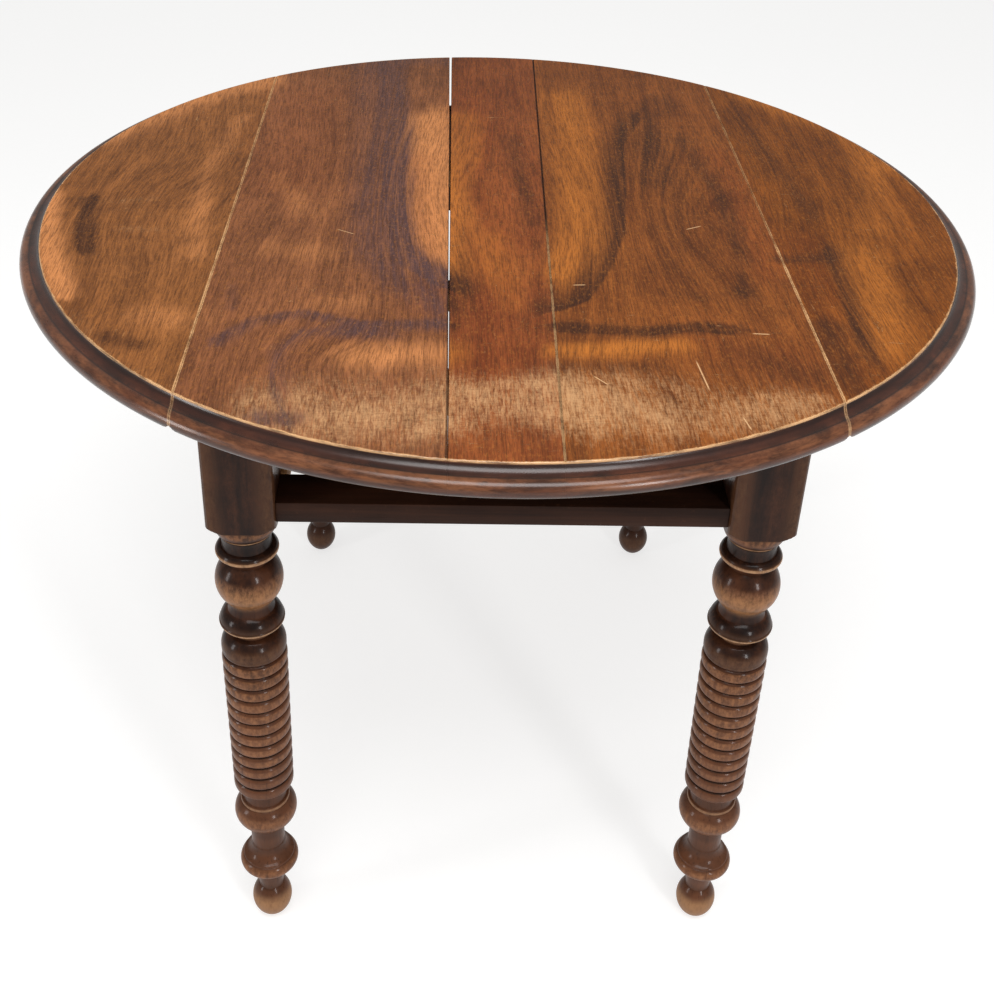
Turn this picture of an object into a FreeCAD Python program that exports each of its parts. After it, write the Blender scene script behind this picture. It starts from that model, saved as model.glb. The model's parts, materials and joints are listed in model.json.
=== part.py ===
"""A round drop-leaf dining table on four ring-turned legs, in millimetres.

The origin is on the floor under the middle of the top. +Z is up, +X runs across the hinge
seams and -Y points to the end with the open drawer rail.
"""
import FreeCAD
import Part
import math
import os

# Overall sizes
table_height = 740.0
top_diameter = 1000.0
top_thickness = 22.0
centre_width = 568.0
seam_gap = 0.8
overrun = 5.0

# Boards of the fixed centre
middle_board_offset = 53.0
middle_board_front = 92.0
middle_board_back = 113.0
crack_front = 0.3
crack_back = 3.0

# Edge moulding of the top, from the worn inner edge outwards
moulding_width = 20.5
arris_drop = 2.0
cove_run = 10.5
cove_fall = 6.0
cove_sag = 1.8
cove_chords = 2
nose_height = 5.5
nose_chords = 2

# Meeting edges of centre and leaf
seam_bevel = 0.7
seam_chamfer = 5.0

# Legs
leaf_hang_gap = 9.5
end_overhang = 143.0
leg_block = 65.0
block_height = 153.0
block_chamfer = 4.0
pommel_rise = 9.0
pommel_share = 1.12

# Turned profile, top to floor. A member has its drop as a share of the turned length, its end
# radius and outward swell as shares of half the block, and the chords that its curve is cut in.
leg_flats = 14
leg_start_share = 0.96
upper_turning_shares = (
    (0.0300, 0.80, 0.0, 1),
    (0.0285, 0.74, 0.0, 1),
    (0.0070, 0.935, 0.0, 1),
    (0.0062, 0.935, 0.0, 1),
    (0.0168, 0.68, 0.0, 1),
    (0.0867, 0.69, 0.330, 4),
    (0.0212, 0.72, 0.0, 1),
    (0.0230, 0.985, 0.0, 1),
    (0.0062, 0.985, 0.0, 1),
    (0.0080, 0.63, 0.0, 1),
    (0.0159, 0.63, 0.0, 1),
    (0.0340, 0.99, 0.090, 2),
    (0.0120, 0.89, 0.0, 1),
)
rib_count = 12
rib_chords = 2
rib_pitch_share = 0.0280
rib_swell_share = 0.110
rib_taper_share = 0.003
lower_turning_shares = (
    (0.0030, 0.72, 0.0, 1),
    (0.0290, 0.72, 0.0, 1),
    (0.0833, 0.60, 0.360, 4),
    (0.0336, 0.57, 0.0, 1),
    (0.0425, 0.84, -0.090, 2),
    (0.0035, 0.87, 0.0, 1),
    (0.0372, 0.615, 0.280, 2),
    (0.0030, 0.54, 0.0, 1),
    (0.0650, 0.50, 0.0, 1),
)
foot_flat_share = 0.28
foot_swell_share = 0.33
foot_chords = 3

# Side and back aprons
apron_height = 142.0
apron_thickness = 22.0
apron_setback = 7.0

# Front rails above and below the drawer opening
rail_depth = 45.0
lower_rail_height = 22.0
upper_rail_height = 22.0

# Mortise and tenon joints
tenon_length = 24.0
tenon_thickness = 10.0
tenon_shoulder = 12.0
rail_tenon_height = 12.0
rail_tenon_width = 26.0
stub_length = 9.0
joint_clearance = 0.2

# Dovetails of the upper rail in the leg tops
dovetail_length = 18.0
dovetail_neck = 18.0
dovetail_end = 26.0
dovetail_height = 13.0

# Drawer runners
runner_width = 42.0

# Lopers that slide out to hold the leaves up, and what guides them
loper_width = 28.0
loper_height = 21.0
loper_spacing = 300.0
loper_proud = 5.0
slide_clearance = 0.4
guide_thickness = 22.0
guide_height = 34.0
guide_inset = 38.0
bearer_width = 24.0
bearer_height = 30.0
pull_radius = 7.0
pull_inset = 16.0
stop_peg_size = 10.0
stop_peg_inset = 7.0
stop_peg_drop = 9.0

# Table hinges
hinge_place_share = 0.31
hinge_width = 75.0
hinge_plate = 2.0
fixed_plate_reach = 36.0
leaf_plate_reach = 55.0
knuckle_radius = 3.0
knuckle_gap = 0.3
pin_radius = 1.5
pin_seat_clearance = 0.02
pin_running_clearance = 0.05
plate_clearance = 0.3

# Places worked out from the sizes above
top_radius = top_diameter / 2
arris_radius = top_radius - moulding_width
underside = table_height - top_thickness
seam_x = centre_width / 2
seam_half_length = math.sqrt(top_radius ** 2 - seam_x ** 2)
half_block = leg_block / 2
turned_length = underside - block_height
leg_x = seam_x - leaf_hang_gap - half_block
leg_y = top_radius - end_overhang - half_block
inner_leg_x = leg_x - half_block
inner_leg_y = leg_y - half_block
apron_outer_x = leg_x + half_block - apron_setback
apron_inner_x = apron_outer_x - apron_thickness
apron_outer_y = leg_y + half_block - apron_setback
apron_inner_y = apron_outer_y - apron_thickness
rail_front_y = -apron_outer_y
rail_rear_y = rail_front_y + rail_depth
apron_bottom = underside - apron_height
loper_top = underside - slide_clearance
loper_bottom = loper_top - loper_height
slot_floor = loper_bottom - slide_clearance
loper_outer_x = apron_outer_x + loper_proud
loper_inner_x = bearer_width / 2 + slide_clearance
guide_outer_x = apron_inner_x - guide_inset
guide_inner_x = guide_outer_x - guide_thickness
SIDES = {"left": -1, "right": 1}
ENDS = {"front": -1, "back": 1}


def box(x, y, z):
    """A box between two values of each coordinate, given in either order."""
    low = FreeCAD.Vector(min(x), min(y), min(z))
    return Part.makeBox(abs(x[1] - x[0]), abs(y[1] - y[0]), abs(z[1] - z[0]), low)


def plan_prism(points, bottom, top):
    """A prism over a plan outline."""
    corners = [FreeCAD.Vector(x, y, bottom) for x, y in points]
    face = Part.Face(Part.makePolygon(corners + corners[:1]))
    return face.extrude(FreeCAD.Vector(0, 0, top - bottom))


def section_prism(points, start, end):
    """A prism along Y over an outline in X and Z."""
    corners = [FreeCAD.Vector(x, start, z) for x, z in points]
    face = Part.Face(Part.makePolygon(corners + corners[:1]))
    return face.extrude(FreeCAD.Vector(0, end - start, 0))


def rod_y(radius, x, z, start, end):
    """A round rod along Y."""
    base = FreeCAD.Vector(x, start, z)
    return Part.makeCylinder(radius, end - start, base, FreeCAD.Vector(0, 1, 0))


def curve_points(start, end, swell, chords):
    """Points after start along a curve in radius and height that swells outwards between its ends."""
    run = end[0] - start[0]
    rise = end[1] - start[1]
    length = math.hypot(run, rise)
    points = []
    for step in range(1, chords + 1):
        along = step / chords
        out = 4 * along * (1 - along) * swell / length
        points.append((start[0] + run * along - rise * out, start[1] + rise * along + run * out))
    return points


def moulded_disc():
    """The whole round top with its cove and nose moulding, before it is sawn into boards."""
    nose_reach = moulding_width - cove_run
    cove_end = (arris_radius + cove_run, table_height - arris_drop - cove_fall)
    nose_z = underside + nose_height
    nose_rise = cove_end[1] - nose_z
    nose_radius = (nose_reach ** 2 + nose_rise ** 2) / (2 * nose_reach)
    nose_centre = top_radius - nose_radius
    foot_radius = nose_centre + math.sqrt(nose_radius ** 2 - nose_height ** 2)
    nose_turn = math.atan2(nose_rise, cove_end[0] - nose_centre)
    outline = [(0, table_height), (arris_radius, table_height)]
    outline.append((arris_radius, table_height - arris_drop))
    outline.extend(curve_points(outline[-1], cove_end, -cove_sag, cove_chords))
    for step in reversed(range(nose_chords)):
        turn = nose_turn * step / nose_chords
        outline.append((nose_centre + nose_radius * math.cos(turn), nose_z + nose_radius * math.sin(turn)))
    outline.extend([(foot_radius, underside), (0, underside)])
    corners = [FreeCAD.Vector(radius, 0, height) for radius, height in outline]
    face = Part.Face(Part.makePolygon(corners + corners[:1]))
    return face.revolve(FreeCAD.Vector(0, 0, 0), FreeCAD.Vector(0, 0, 1), 360)


def seam_slab(side, inward):
    """Everything on one side of a hinge seam, with the bevels of its edge."""
    edge = seam_x + seam_gap / 2 * -inward
    far = top_diameter
    outline = (
        (0, underside + seam_chamfer),
        (seam_chamfer + overrun, underside - overrun),
        (far, underside - overrun),
        (far, table_height + overrun),
        (seam_bevel + overrun, table_height + overrun),
        (0, table_height - seam_bevel),
    )
    points = [(side * (edge - inward * run), z) for run, z in outline]
    return section_prism(points, -top_diameter, top_diameter)


def hinge_places():
    """The Y places of the hinges along a seam."""
    return [end * hinge_place_share * 2 * seam_half_length for end in ENDS.values()]


def hinge_recess(side, reach, inward):
    """The shallow seats in an underside that the plates of one side's hinges lie in."""
    seats = []
    edge = side * seam_x
    far = side * (seam_x - inward * (reach + plate_clearance))
    half = hinge_width / 2 + plate_clearance
    for y in hinge_places():
        seats.append(box((edge, far), (y - half, y + half), (underside - overrun, underside + hinge_plate)))
    return seats


def top_boards(disc):
    """The three boards of the fixed centre, with the middle seam open at the back."""
    centre = disc
    for side in SIDES.values():
        centre = centre.common(seam_slab(side, 1))
        for seat in hinge_recess(side, fixed_plate_reach, 1):
            centre = centre.cut(seat)
    low = underside - overrun
    high = table_height + overrun
    far = top_diameter
    front = -top_radius
    back = top_radius
    left_edge = -middle_board_offset
    right_front = left_edge + middle_board_front
    right_back = left_edge + middle_board_back
    left = ((-far, front), (left_edge - crack_front, front), (left_edge - crack_back, back), (-far, back))
    middle = ((left_edge, front), (right_front, front), (right_back, back), (left_edge, back))
    right = ((right_front, front), (far, front), (far, back), (right_back, back))
    outlines = {"left": left, "middle": middle, "right": right}
    return {
        "top_board_" + name: centre.common(plan_prism(points, low, high))
        for name, points in outlines.items()
    }


def leaf(disc, side):
    """One drop leaf: the part of the top outside a hinge seam."""
    piece = disc.common(seam_slab(side, -1))
    for seat in hinge_recess(side, leaf_plate_reach, -1):
        piece = piece.cut(seat)
    return piece


def leg_stations():
    """Radius and height of each ring of the turned length, from the block to the floor."""
    rows = list(upper_turning_shares)
    groove_share = upper_turning_shares[-1][1]
    for rib in range(rib_count):
        groove_share = groove_share - rib_taper_share
        rows.append((rib_pitch_share, groove_share, rib_swell_share, rib_chords))
    rows.extend(lower_turning_shares)
    stations = [(leg_start_share * half_block, turned_length)]
    for drop_share, radius_share, swell_share, chords in rows:
        start = stations[-1]
        end = (radius_share * half_block, start[1] - drop_share * turned_length)
        stations.extend(curve_points(start, end, swell_share * half_block, chords))
    foot = (foot_flat_share * half_block, 0)
    stations.extend(curve_points(stations[-1], foot, foot_swell_share * half_block, foot_chords))
    return stations


def flat_ring(radius, height):
    """The corners of a many-sided ring about Z."""
    turns = [2 * math.pi * k / leg_flats for k in range(leg_flats)]
    return [FreeCAD.Vector(radius * math.cos(t), radius * math.sin(t), height) for t in turns]


def turned_shaft():
    """The turned length of a leg in fine flats, from the block down to the ball foot."""
    rings = [flat_ring(radius, height) for radius, height in leg_stations()]
    loops = [rings[0], rings[-1]]
    for upper, lower in zip(rings, rings[1:]):
        for k in range(leg_flats):
            loops.append([upper[k - 1], upper[k], lower[k], lower[k - 1]])
    shell = Part.makeShell([Part.Face(Part.makePolygon(loop + loop[:1])) for loop in loops])
    shell.sewShape()
    return Part.makeSolid(shell)


def leg_blank():
    """A leg at the origin: a chamfered square block on its turned shaft."""
    h = half_block
    c = h - block_chamfer
    octagon = ((h, -c), (h, c), (c, h), (-c, h), (-h, c), (-h, -c), (-c, -h), (c, -h))
    block = plan_prism(octagon, turned_length, underside)
    pommel_radius = pommel_share * half_block
    pommel = Part.makeCone(
        pommel_radius,
        pommel_radius + pommel_rise,
        pommel_rise,
        FreeCAD.Vector(0, 0, turned_length),
    )
    around = (-leg_block, leg_block)
    rest = box(around, around, (turned_length + pommel_rise, underside + overrun))
    block = block.common(pommel.fuse(rest))
    return block.fuse(turned_shaft()).removeSplitter()


def leg(blank, side, end):
    """One leg in place, with its mortises."""
    piece = blank.copy()
    piece.translate(FreeCAD.Vector(side * leg_x, end * leg_y, 0))
    piece = piece.cut(side_tenon(side, end, joint_clearance))
    if end == ENDS["back"]:
        return piece.cut(back_tenon(side, joint_clearance))
    piece = piece.cut(lower_rail_tenon(side, joint_clearance))
    return piece.cut(dovetail(side, joint_clearance))


def side_tenon(side, end, room):
    """The tenon of a side apron in one leg; room widens it into its mortise."""
    middle = apron_outer_x - apron_thickness / 2
    half = tenon_thickness / 2 + room
    x = (side * (middle - half), side * (middle + half))
    y = (end * inner_leg_y, end * (inner_leg_y + tenon_length + room))
    z = (apron_bottom + tenon_shoulder - room, slot_floor - tenon_shoulder + room)
    return box(x, y, z)


def back_tenon(side, room):
    """The tenon of the back apron in one leg."""
    middle = apron_outer_y - apron_thickness / 2
    half = tenon_thickness / 2 + room
    x = (side * inner_leg_x, side * (inner_leg_x + tenon_length + room))
    z = (apron_bottom + tenon_shoulder - room, slot_floor - tenon_shoulder + room)
    return box(x, (middle - half, middle + half), z)


def lower_rail_tenon(side, room):
    """The flat tenon of the lower drawer rail in one front leg."""
    middle_y = (rail_front_y + rail_rear_y) / 2
    middle_z = apron_bottom + lower_rail_height / 2
    half_y = rail_tenon_width / 2 + room
    half_z = rail_tenon_height / 2 + room
    x = (side * inner_leg_x, side * (inner_leg_x + tenon_length + room))
    return box(x, (middle_y - half_y, middle_y + half_y), (middle_z - half_z, middle_z + half_z))


def dovetail(side, room):
    """The dovetail of the upper drawer rail, let into a leg from its top."""
    middle = (rail_front_y + rail_rear_y) / 2
    neck = dovetail_neck / 2 + room
    tip = dovetail_end / 2 + room
    root_x = side * inner_leg_x
    tip_x = side * (inner_leg_x + dovetail_length + room)
    outline = ((root_x, middle - neck), (tip_x, middle - tip), (tip_x, middle + tip), (root_x, middle + neck))
    return plan_prism(outline, underside - dovetail_height - room, underside)


def loper_places():
    """The Y place of each loper on a side."""
    return {name: end * loper_spacing / 2 for name, end in ENDS.items()}


def loper_slots(side, x_inner, x_outer):
    """The open notches that a side's lopers slide in, through one rail."""
    half = loper_width / 2 + slide_clearance
    x = (side * x_inner, side * x_outer)
    return [
        box(x, (y - half, y + half), (slot_floor, underside + overrun))
        for y in loper_places().values()
    ]


def side_apron(side):
    """A side apron with its two tenons and the notches for the lopers."""
    x = (side * apron_inner_x, side * apron_outer_x)
    piece = box(x, (-inner_leg_y, inner_leg_y), (apron_bottom, underside))
    for end in ENDS.values():
        piece = piece.fuse(side_tenon(side, end, 0))
    for slot in loper_slots(side, apron_inner_x - overrun, apron_outer_x + overrun):
        piece = piece.cut(slot)
    return piece.removeSplitter()


def stub_tenons(x_middle, y_face, room):
    """The stub tenon at one end of a guide or bearer, in the rail or apron it meets."""
    half = tenon_thickness / 2 + room
    end = math.copysign(1, y_face)
    y = (y_face, y_face + end * (stub_length + room))
    middle_z = underside - upper_rail_height / 2
    half_z = tenon_thickness / 2 + room
    return box((x_middle - half, x_middle + half), y, (middle_z - half_z, middle_z + half_z))


def long_rail_places():
    """The X middles of the loper guides and of the centre bearer."""
    guide_middle = (guide_inner_x + guide_outer_x) / 2
    return (-guide_middle, 0.0, guide_middle)


def back_apron():
    """The back apron with its tenons and the mortises of the long rails."""
    piece = box((-inner_leg_x, inner_leg_x), (apron_inner_y, apron_outer_y), (apron_bottom, underside))
    for side in SIDES.values():
        piece = piece.fuse(back_tenon(side, 0))
    for x in long_rail_places():
        piece = piece.cut(stub_tenons(x, apron_inner_y, joint_clearance))
    return piece.removeSplitter()


def lower_rail():
    """The flat rail under the drawer opening."""
    x = (-inner_leg_x, inner_leg_x)
    piece = box(x, (rail_front_y, rail_rear_y), (apron_bottom, apron_bottom + lower_rail_height))
    for side in SIDES.values():
        piece = piece.fuse(lower_rail_tenon(side, 0))
    return piece.removeSplitter()


def upper_rail():
    """The flat rail over the drawer opening, dovetailed into the leg tops."""
    x = (-inner_leg_x, inner_leg_x)
    piece = box(x, (rail_front_y, rail_rear_y), (underside - upper_rail_height, underside))
    for side in SIDES.values():
        piece = piece.fuse(dovetail(side, 0))
    for middle in long_rail_places():
        piece = piece.cut(stub_tenons(middle, rail_rear_y, joint_clearance))
    return piece.removeSplitter()


def long_rail(middle, width, height):
    """A rail under the boards from the upper drawer rail to the back apron."""
    half = width / 2
    x = (middle - half, middle + half)
    piece = box(x, (rail_rear_y, apron_inner_y), (underside - height, underside))
    for face in (rail_rear_y, apron_inner_y):
        piece = piece.fuse(stub_tenons(middle, face, 0))
    return piece.removeSplitter()


def loper_guide(side):
    """A long rail inside a side apron, notched to guide the lopers."""
    piece = long_rail(side * (guide_inner_x + guide_outer_x) / 2, guide_thickness, guide_height)
    for slot in loper_slots(side, guide_inner_x - overrun, guide_outer_x + overrun):
        piece = piece.cut(slot)
    return piece


def drawer_runner(side):
    """A drawer runner along a side apron, notched round both legs."""
    inner = side * (apron_inner_x - runner_width)
    outer = side * apron_inner_x
    leg_face = side * inner_leg_x
    outline = (
        (inner, rail_rear_y),
        (leg_face, rail_rear_y),
        (leg_face, -inner_leg_y),
        (outer, -inner_leg_y),
        (outer, inner_leg_y),
        (leg_face, inner_leg_y),
        (leg_face, apron_inner_y),
        (inner, apron_inner_y),
    )
    return plan_prism(outline, apron_bottom, apron_bottom + lower_rail_height)


def stop_peg(side, y):
    """The square peg through a loper's inner end, which meets the guide when the loper is out."""
    half = stop_peg_size / 2
    near = loper_inner_x + stop_peg_inset
    x = (side * near, side * (near + stop_peg_size))
    return box(x, (y - half, y + half), (loper_bottom - stop_peg_drop, loper_top))


def loper(side, y):
    """A sliding bearer with a finger groove under its outer end and a hole for its stop peg."""
    half = loper_width / 2
    piece = box((side * loper_inner_x, side * loper_outer_x), (y - half, y + half), (loper_bottom, loper_top))
    pull_x = side * (loper_outer_x - pull_inset)
    piece = piece.cut(rod_y(pull_radius, pull_x, loper_bottom, y - half - overrun, y + half + overrun))
    return piece.cut(stop_peg(side, y))


def hinge_plate_solid(side, y, reach, inward, span, bore):
    """A hinge plate let into an underside, with the knuckle that it carries."""
    near = seam_x - inward * (knuckle_radius + plate_clearance)
    far = seam_x - inward * reach
    half = hinge_width / 2
    z = (underside, underside + hinge_plate)
    start = y + span[0]
    end = y + span[1]
    plate = box((side * near, side * far), (y - half, y + half), z)
    tongue = box((side * seam_x, side * near), (start, end), z)
    knuckle = rod_y(knuckle_radius, side * seam_x, underside, start, end)
    hole = rod_y(bore, side * seam_x, underside, start - overrun, end + overrun)
    return plate.fuse(tongue).fuse(knuckle).cut(hole).removeSplitter()


def hinge(side, y):
    """The fixed plate, leaf plate and pin of one hinge."""
    half = hinge_width / 2
    seat = pin_radius + pin_seat_clearance
    running = pin_radius + pin_running_clearance
    return {
        "fixed": hinge_plate_solid(side, y, fixed_plate_reach, 1, (-half, -knuckle_gap / 2), seat),
        "leaf": hinge_plate_solid(side, y, leaf_plate_reach, -1, (knuckle_gap / 2, half), running),
        "pin": rod_y(pin_radius, side * seam_x, underside, y - half, y + half),
    }


def build():
    """Every piece of the table by its node name."""
    disc = moulded_disc()
    pieces = top_boards(disc)
    blank = leg_blank()
    for side_name, side in SIDES.items():
        pieces["leaf_" + side_name] = leaf(disc, side)
        pieces["apron_" + side_name] = side_apron(side)
        pieces["loper_guide_" + side_name] = loper_guide(side)
        pieces["drawer_runner_" + side_name] = drawer_runner(side)
        for end_name, end in ENDS.items():
            corner = end_name + "_" + side_name
            y = loper_places()[end_name]
            pieces["leg_" + corner] = leg(blank, side, end)
            pieces["loper_" + corner] = loper(side, y)
            pieces["loper_stop_" + corner] = stop_peg(side, y)
        for end_name, y in zip(ENDS, hinge_places()):
            for part_name, solid in hinge(side, y).items():
                pieces["hinge_" + side_name + "_" + end_name + "_" + part_name] = solid
    pieces["apron_back"] = back_apron()
    pieces["drawer_rail_lower"] = lower_rail()
    pieces["drawer_rail_upper"] = upper_rail()
    pieces["centre_bearer"] = long_rail(0.0, bearer_width, bearer_height)
    return pieces


def main():
    """Write each piece to its own file."""
    os.makedirs("parts", exist_ok=True)
    for name, solid in build().items():
        solid.exportStep(os.path.join("parts", name + ".step"))


main()
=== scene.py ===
# %% [markdown]
# # A round walnut table with two drop leaves
# This old dining table has a fixed centre of three boards, two hinged leaves, a moulded rim and
# four ring-turned legs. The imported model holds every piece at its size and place, so the first
# step is to load it. Lengths of pieces are in millimetres and become metres when a mesh is made.
# The finishes work in metres, as the shader does.

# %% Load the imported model
import json
import math

import bmesh
import bpy
import numpy as np
from mathutils import Matrix, Vector

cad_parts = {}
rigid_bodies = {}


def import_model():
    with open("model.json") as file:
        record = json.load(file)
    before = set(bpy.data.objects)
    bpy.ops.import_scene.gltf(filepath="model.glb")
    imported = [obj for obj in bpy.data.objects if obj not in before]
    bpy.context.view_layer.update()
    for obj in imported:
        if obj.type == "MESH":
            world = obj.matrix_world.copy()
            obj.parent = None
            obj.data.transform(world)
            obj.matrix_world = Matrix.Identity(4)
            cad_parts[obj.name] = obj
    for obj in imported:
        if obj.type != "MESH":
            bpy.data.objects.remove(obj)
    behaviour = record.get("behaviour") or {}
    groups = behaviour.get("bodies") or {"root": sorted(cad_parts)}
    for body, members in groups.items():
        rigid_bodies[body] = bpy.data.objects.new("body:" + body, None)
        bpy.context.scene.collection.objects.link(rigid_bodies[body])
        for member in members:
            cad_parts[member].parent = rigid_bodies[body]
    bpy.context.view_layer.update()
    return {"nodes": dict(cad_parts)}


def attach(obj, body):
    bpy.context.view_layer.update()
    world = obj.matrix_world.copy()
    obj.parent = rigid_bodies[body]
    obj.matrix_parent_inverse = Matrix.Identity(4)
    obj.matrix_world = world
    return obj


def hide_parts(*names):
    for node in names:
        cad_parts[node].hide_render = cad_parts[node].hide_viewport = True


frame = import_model()
MM = 0.001
SIDES = {"left": -1, "right": 1}
ENDS = {"front": -1, "back": 1}

# %% [markdown]
# The camera looks down on the table from the front. Its place, turn and focal length were
# fitted to the rim, the seams and the feet. The lens looks at a point above the middle of the
# picture, so it is shifted down a little. More shift would fit the feet better, but it would push
# the table out of other views.

# %% Camera
image_width, image_height, sensor = 994, 995, 36.0
camera_place = Vector((-57.92, -1357.21, 1369.05)) * MM
camera_yaw, camera_pitch, camera_roll = (math.radians(a) for a in (1.9543, 30.3332, 1.9403))
focal_pixels, middle_x, middle_y = 1372.99, 484.0, 335.0
forward = Vector((
    math.sin(camera_yaw) * math.cos(camera_pitch),
    math.cos(camera_yaw) * math.cos(camera_pitch),
    -math.sin(camera_pitch),
))
level_right = Vector((math.cos(camera_yaw), -math.sin(camera_yaw), 0))
level_up = level_right.cross(forward)
right = math.cos(camera_roll) * level_right + math.sin(camera_roll) * level_up
up = math.cos(camera_roll) * level_up - math.sin(camera_roll) * level_right
lens = bpy.data.cameras.new("camera")
lens.sensor_width = sensor
lens.lens = focal_pixels * sensor / image_height
lens.shift_x = (image_width / 2 - middle_x) / image_height
lens.shift_y = (middle_y - image_height / 2) / image_height
camera = bpy.data.objects.new("camera", lens)
turn = Matrix((right, up, -forward)).transposed().to_4x4()
camera.matrix_world = Matrix.Translation(camera_place) @ turn
bpy.context.collection.objects.link(camera)
bpy.context.scene.camera = camera
print("camera lens", round(lens.lens, 2), "shift", round(lens.shift_x, 3), round(lens.shift_y, 3))

# %% [markdown]
# Finishes are made of shader nodes. A small class with short words for the nodes keeps each
# recipe readable: noise, a soft step, a mix of two colours. Colours are written as they look
# on a screen and turned into linear values, which is what the shader works with.

# %% Words for finishes
def tone(red, green, blue):
    """A screen colour from 0 to 255 as a linear colour."""
    steps = (v / 255 for v in (red, green, blue))
    return (*[v / 12.92 if v < 0.04045 else ((v + 0.055) / 1.055) ** 2.4 for v in steps], 1.0)


class Finish:
    """A material whose nodes are added one by one."""

    def __init__(self, name, **constants):
        self.material = bpy.data.materials.new(name)
        self.material.use_nodes = True
        self.nodes = self.material.node_tree.nodes
        self.links = self.material.node_tree.links
        self.shader = self.nodes["Principled BSDF"]
        for word, value in constants.items():
            self.shader.inputs[word.replace("_", " ")].default_value = value
        self.place = self.nodes.new("ShaderNodeTexCoord").outputs["Object"]

    def feed(self, socket, value):
        """Links a value that comes from another node, or sets a plain one."""
        if isinstance(value, bpy.types.NodeSocket):
            self.links.new(value, socket)
        else:
            socket.default_value = value

    def stretch(self, scale, place=None):
        """The place of each point, with each axis made longer or shorter."""
        node = self.nodes.new("ShaderNodeVectorMath")
        node.operation = "MULTIPLY"
        self.feed(node.inputs[0], place or self.place)
        node.inputs[1].default_value = scale
        return node.outputs[0]

    def noise(self, scale, stretch=(1, 1, 1), detail=3.0, rough=0.55, warp=0.0, place=None):
        """A random pattern; a small stretch along an axis draws it out that way."""
        node = self.nodes.new("ShaderNodeTexNoise")
        self.links.new(self.stretch(stretch, place), node.inputs["Vector"])
        settings = {"Scale": scale, "Detail": detail, "Roughness": rough, "Distortion": warp}
        for word, value in settings.items():
            node.inputs[word].default_value = value
        return node.outputs["Fac"]

    def step(self, value, low, high, bottom=0.0, top=1.0):
        """A soft step from bottom to top as the value goes from low to high."""
        node = self.nodes.new("ShaderNodeMapRange")
        node.interpolation_type = "SMOOTHSTEP"
        self.feed(node.inputs["Value"], value)
        settings = {"From Min": low, "From Max": high, "To Min": bottom, "To Max": top}
        for word, number in settings.items():
            node.inputs[word].default_value = number
        return node.outputs["Result"]

    def sum(self, first, second=0.0, kind="ADD", clamp=False):
        """Two values added, or joined by another kind of maths."""
        node = self.nodes.new("ShaderNodeMath")
        node.operation = kind
        node.use_clamp = clamp
        self.feed(node.inputs[0], first)
        self.feed(node.inputs[1], second)
        return node.outputs[0]

    def times(self, first, second):
        return self.sum(first, second, "MULTIPLY")

    def weigh(self, first, share, second, other_share):
        """Two values added, each times its own share."""
        return self.sum(self.times(first, share), self.times(second, other_share))

    def most(self, first, second):
        return self.sum(first, second, "MAXIMUM")

    def far(self, value):
        """How far a value is from zero, on either side."""
        return self.sum(value, 0.0, "ABSOLUTE")

    def radius(self, x, y):
        """The distance from the table's own axis."""
        return self.sum(self.sum(self.times(x, x), self.times(y, y)), 0.5, "POWER")

    def blend(self, amount, first, second):
        """A colour between the first, at amount 0, and the second, at amount 1."""
        node = self.nodes.new("ShaderNodeMix")
        node.data_type = "RGBA"
        self.feed(node.inputs[0], amount)
        self.feed(node.inputs[6], first)
        self.feed(node.inputs[7], second)
        return node.outputs[2]

    def axes(self):
        """The X, Y and Z of each point."""
        node = self.nodes.new("ShaderNodeSeparateXYZ")
        self.links.new(self.place, node.inputs[0])
        return node.outputs[0], node.outputs[1], node.outputs[2]

    def point(self, x, y, z=0.0):
        node = self.nodes.new("ShaderNodeCombineXYZ")
        for socket, value in zip(node.inputs, (x, y, z)):
            self.feed(socket, value)
        return node.outputs[0]

    def stored(self, name, channels=False):
        """The four channels, or the single number, that a mesh carries under a name."""
        node = self.nodes.new("ShaderNodeAttribute")
        node.attribute_name = name
        if not channels:
            return node.outputs["Fac"]
        split = self.nodes.new("ShaderNodeSeparateColor")
        self.links.new(node.outputs["Color"], split.inputs[0])
        return (*split.outputs[:3], node.outputs["Alpha"])

    def dress(self, colour, roughness, height, depth):
        """Ends the recipe: colour, roughness and the fine relief."""
        self.feed(self.shader.inputs["Base Color"], colour)
        self.feed(self.shader.inputs["Roughness"], roughness)
        bump = self.nodes.new("ShaderNodeBump")
        bump.inputs["Distance"].default_value = depth
        self.links.new(height, bump.inputs["Height"])
        self.links.new(bump.outputs["Normal"], self.shader.inputs["Normal"])
        return self.material


print("finish words ready")

# %% [markdown]
# A plain pale floor and soft light keep the eye on the wood. A bright sky gives even light
# from all round, and three large lamps give the rim and the turnings their highlights.

# %% Floor and light
def lamp(name, place, aim, size, power):
    """A large soft lamp that shines from one place to another."""
    light = bpy.data.lights.new(name, "AREA")
    light.shape = "RECTANGLE"
    light.size, light.size_y = size
    light.energy = power
    holder = bpy.data.objects.new(name, light)
    holder.location = place
    holder.rotation_euler = (Vector(aim) - Vector(place)).to_track_quat("-Z", "Y").to_euler()
    bpy.context.collection.objects.link(holder)


sky = bpy.data.worlds.new("studio")
sky.use_nodes = True
sky.node_tree.nodes["Background"].inputs["Color"].default_value = (1.0, 0.985, 0.96, 1.0)
sky.node_tree.nodes["Background"].inputs["Strength"].default_value = 0.42
bpy.context.scene.world = sky
bpy.context.scene.view_settings.view_transform = "Standard"
lamp("lamp_over", (0.1, -1.2, 3.0), (0, 0, 0.7), (1.8, 1.4), 62)
lamp("lamp_front", (1.6, -3.0, 1.5), (0, 0, 0.5), (0.40, 1.1), 34)
lamp("lamp_left", (-2.6, -1.2, 1.0), (0, 0, 0.4), (0.40, 1.1), 18)

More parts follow.
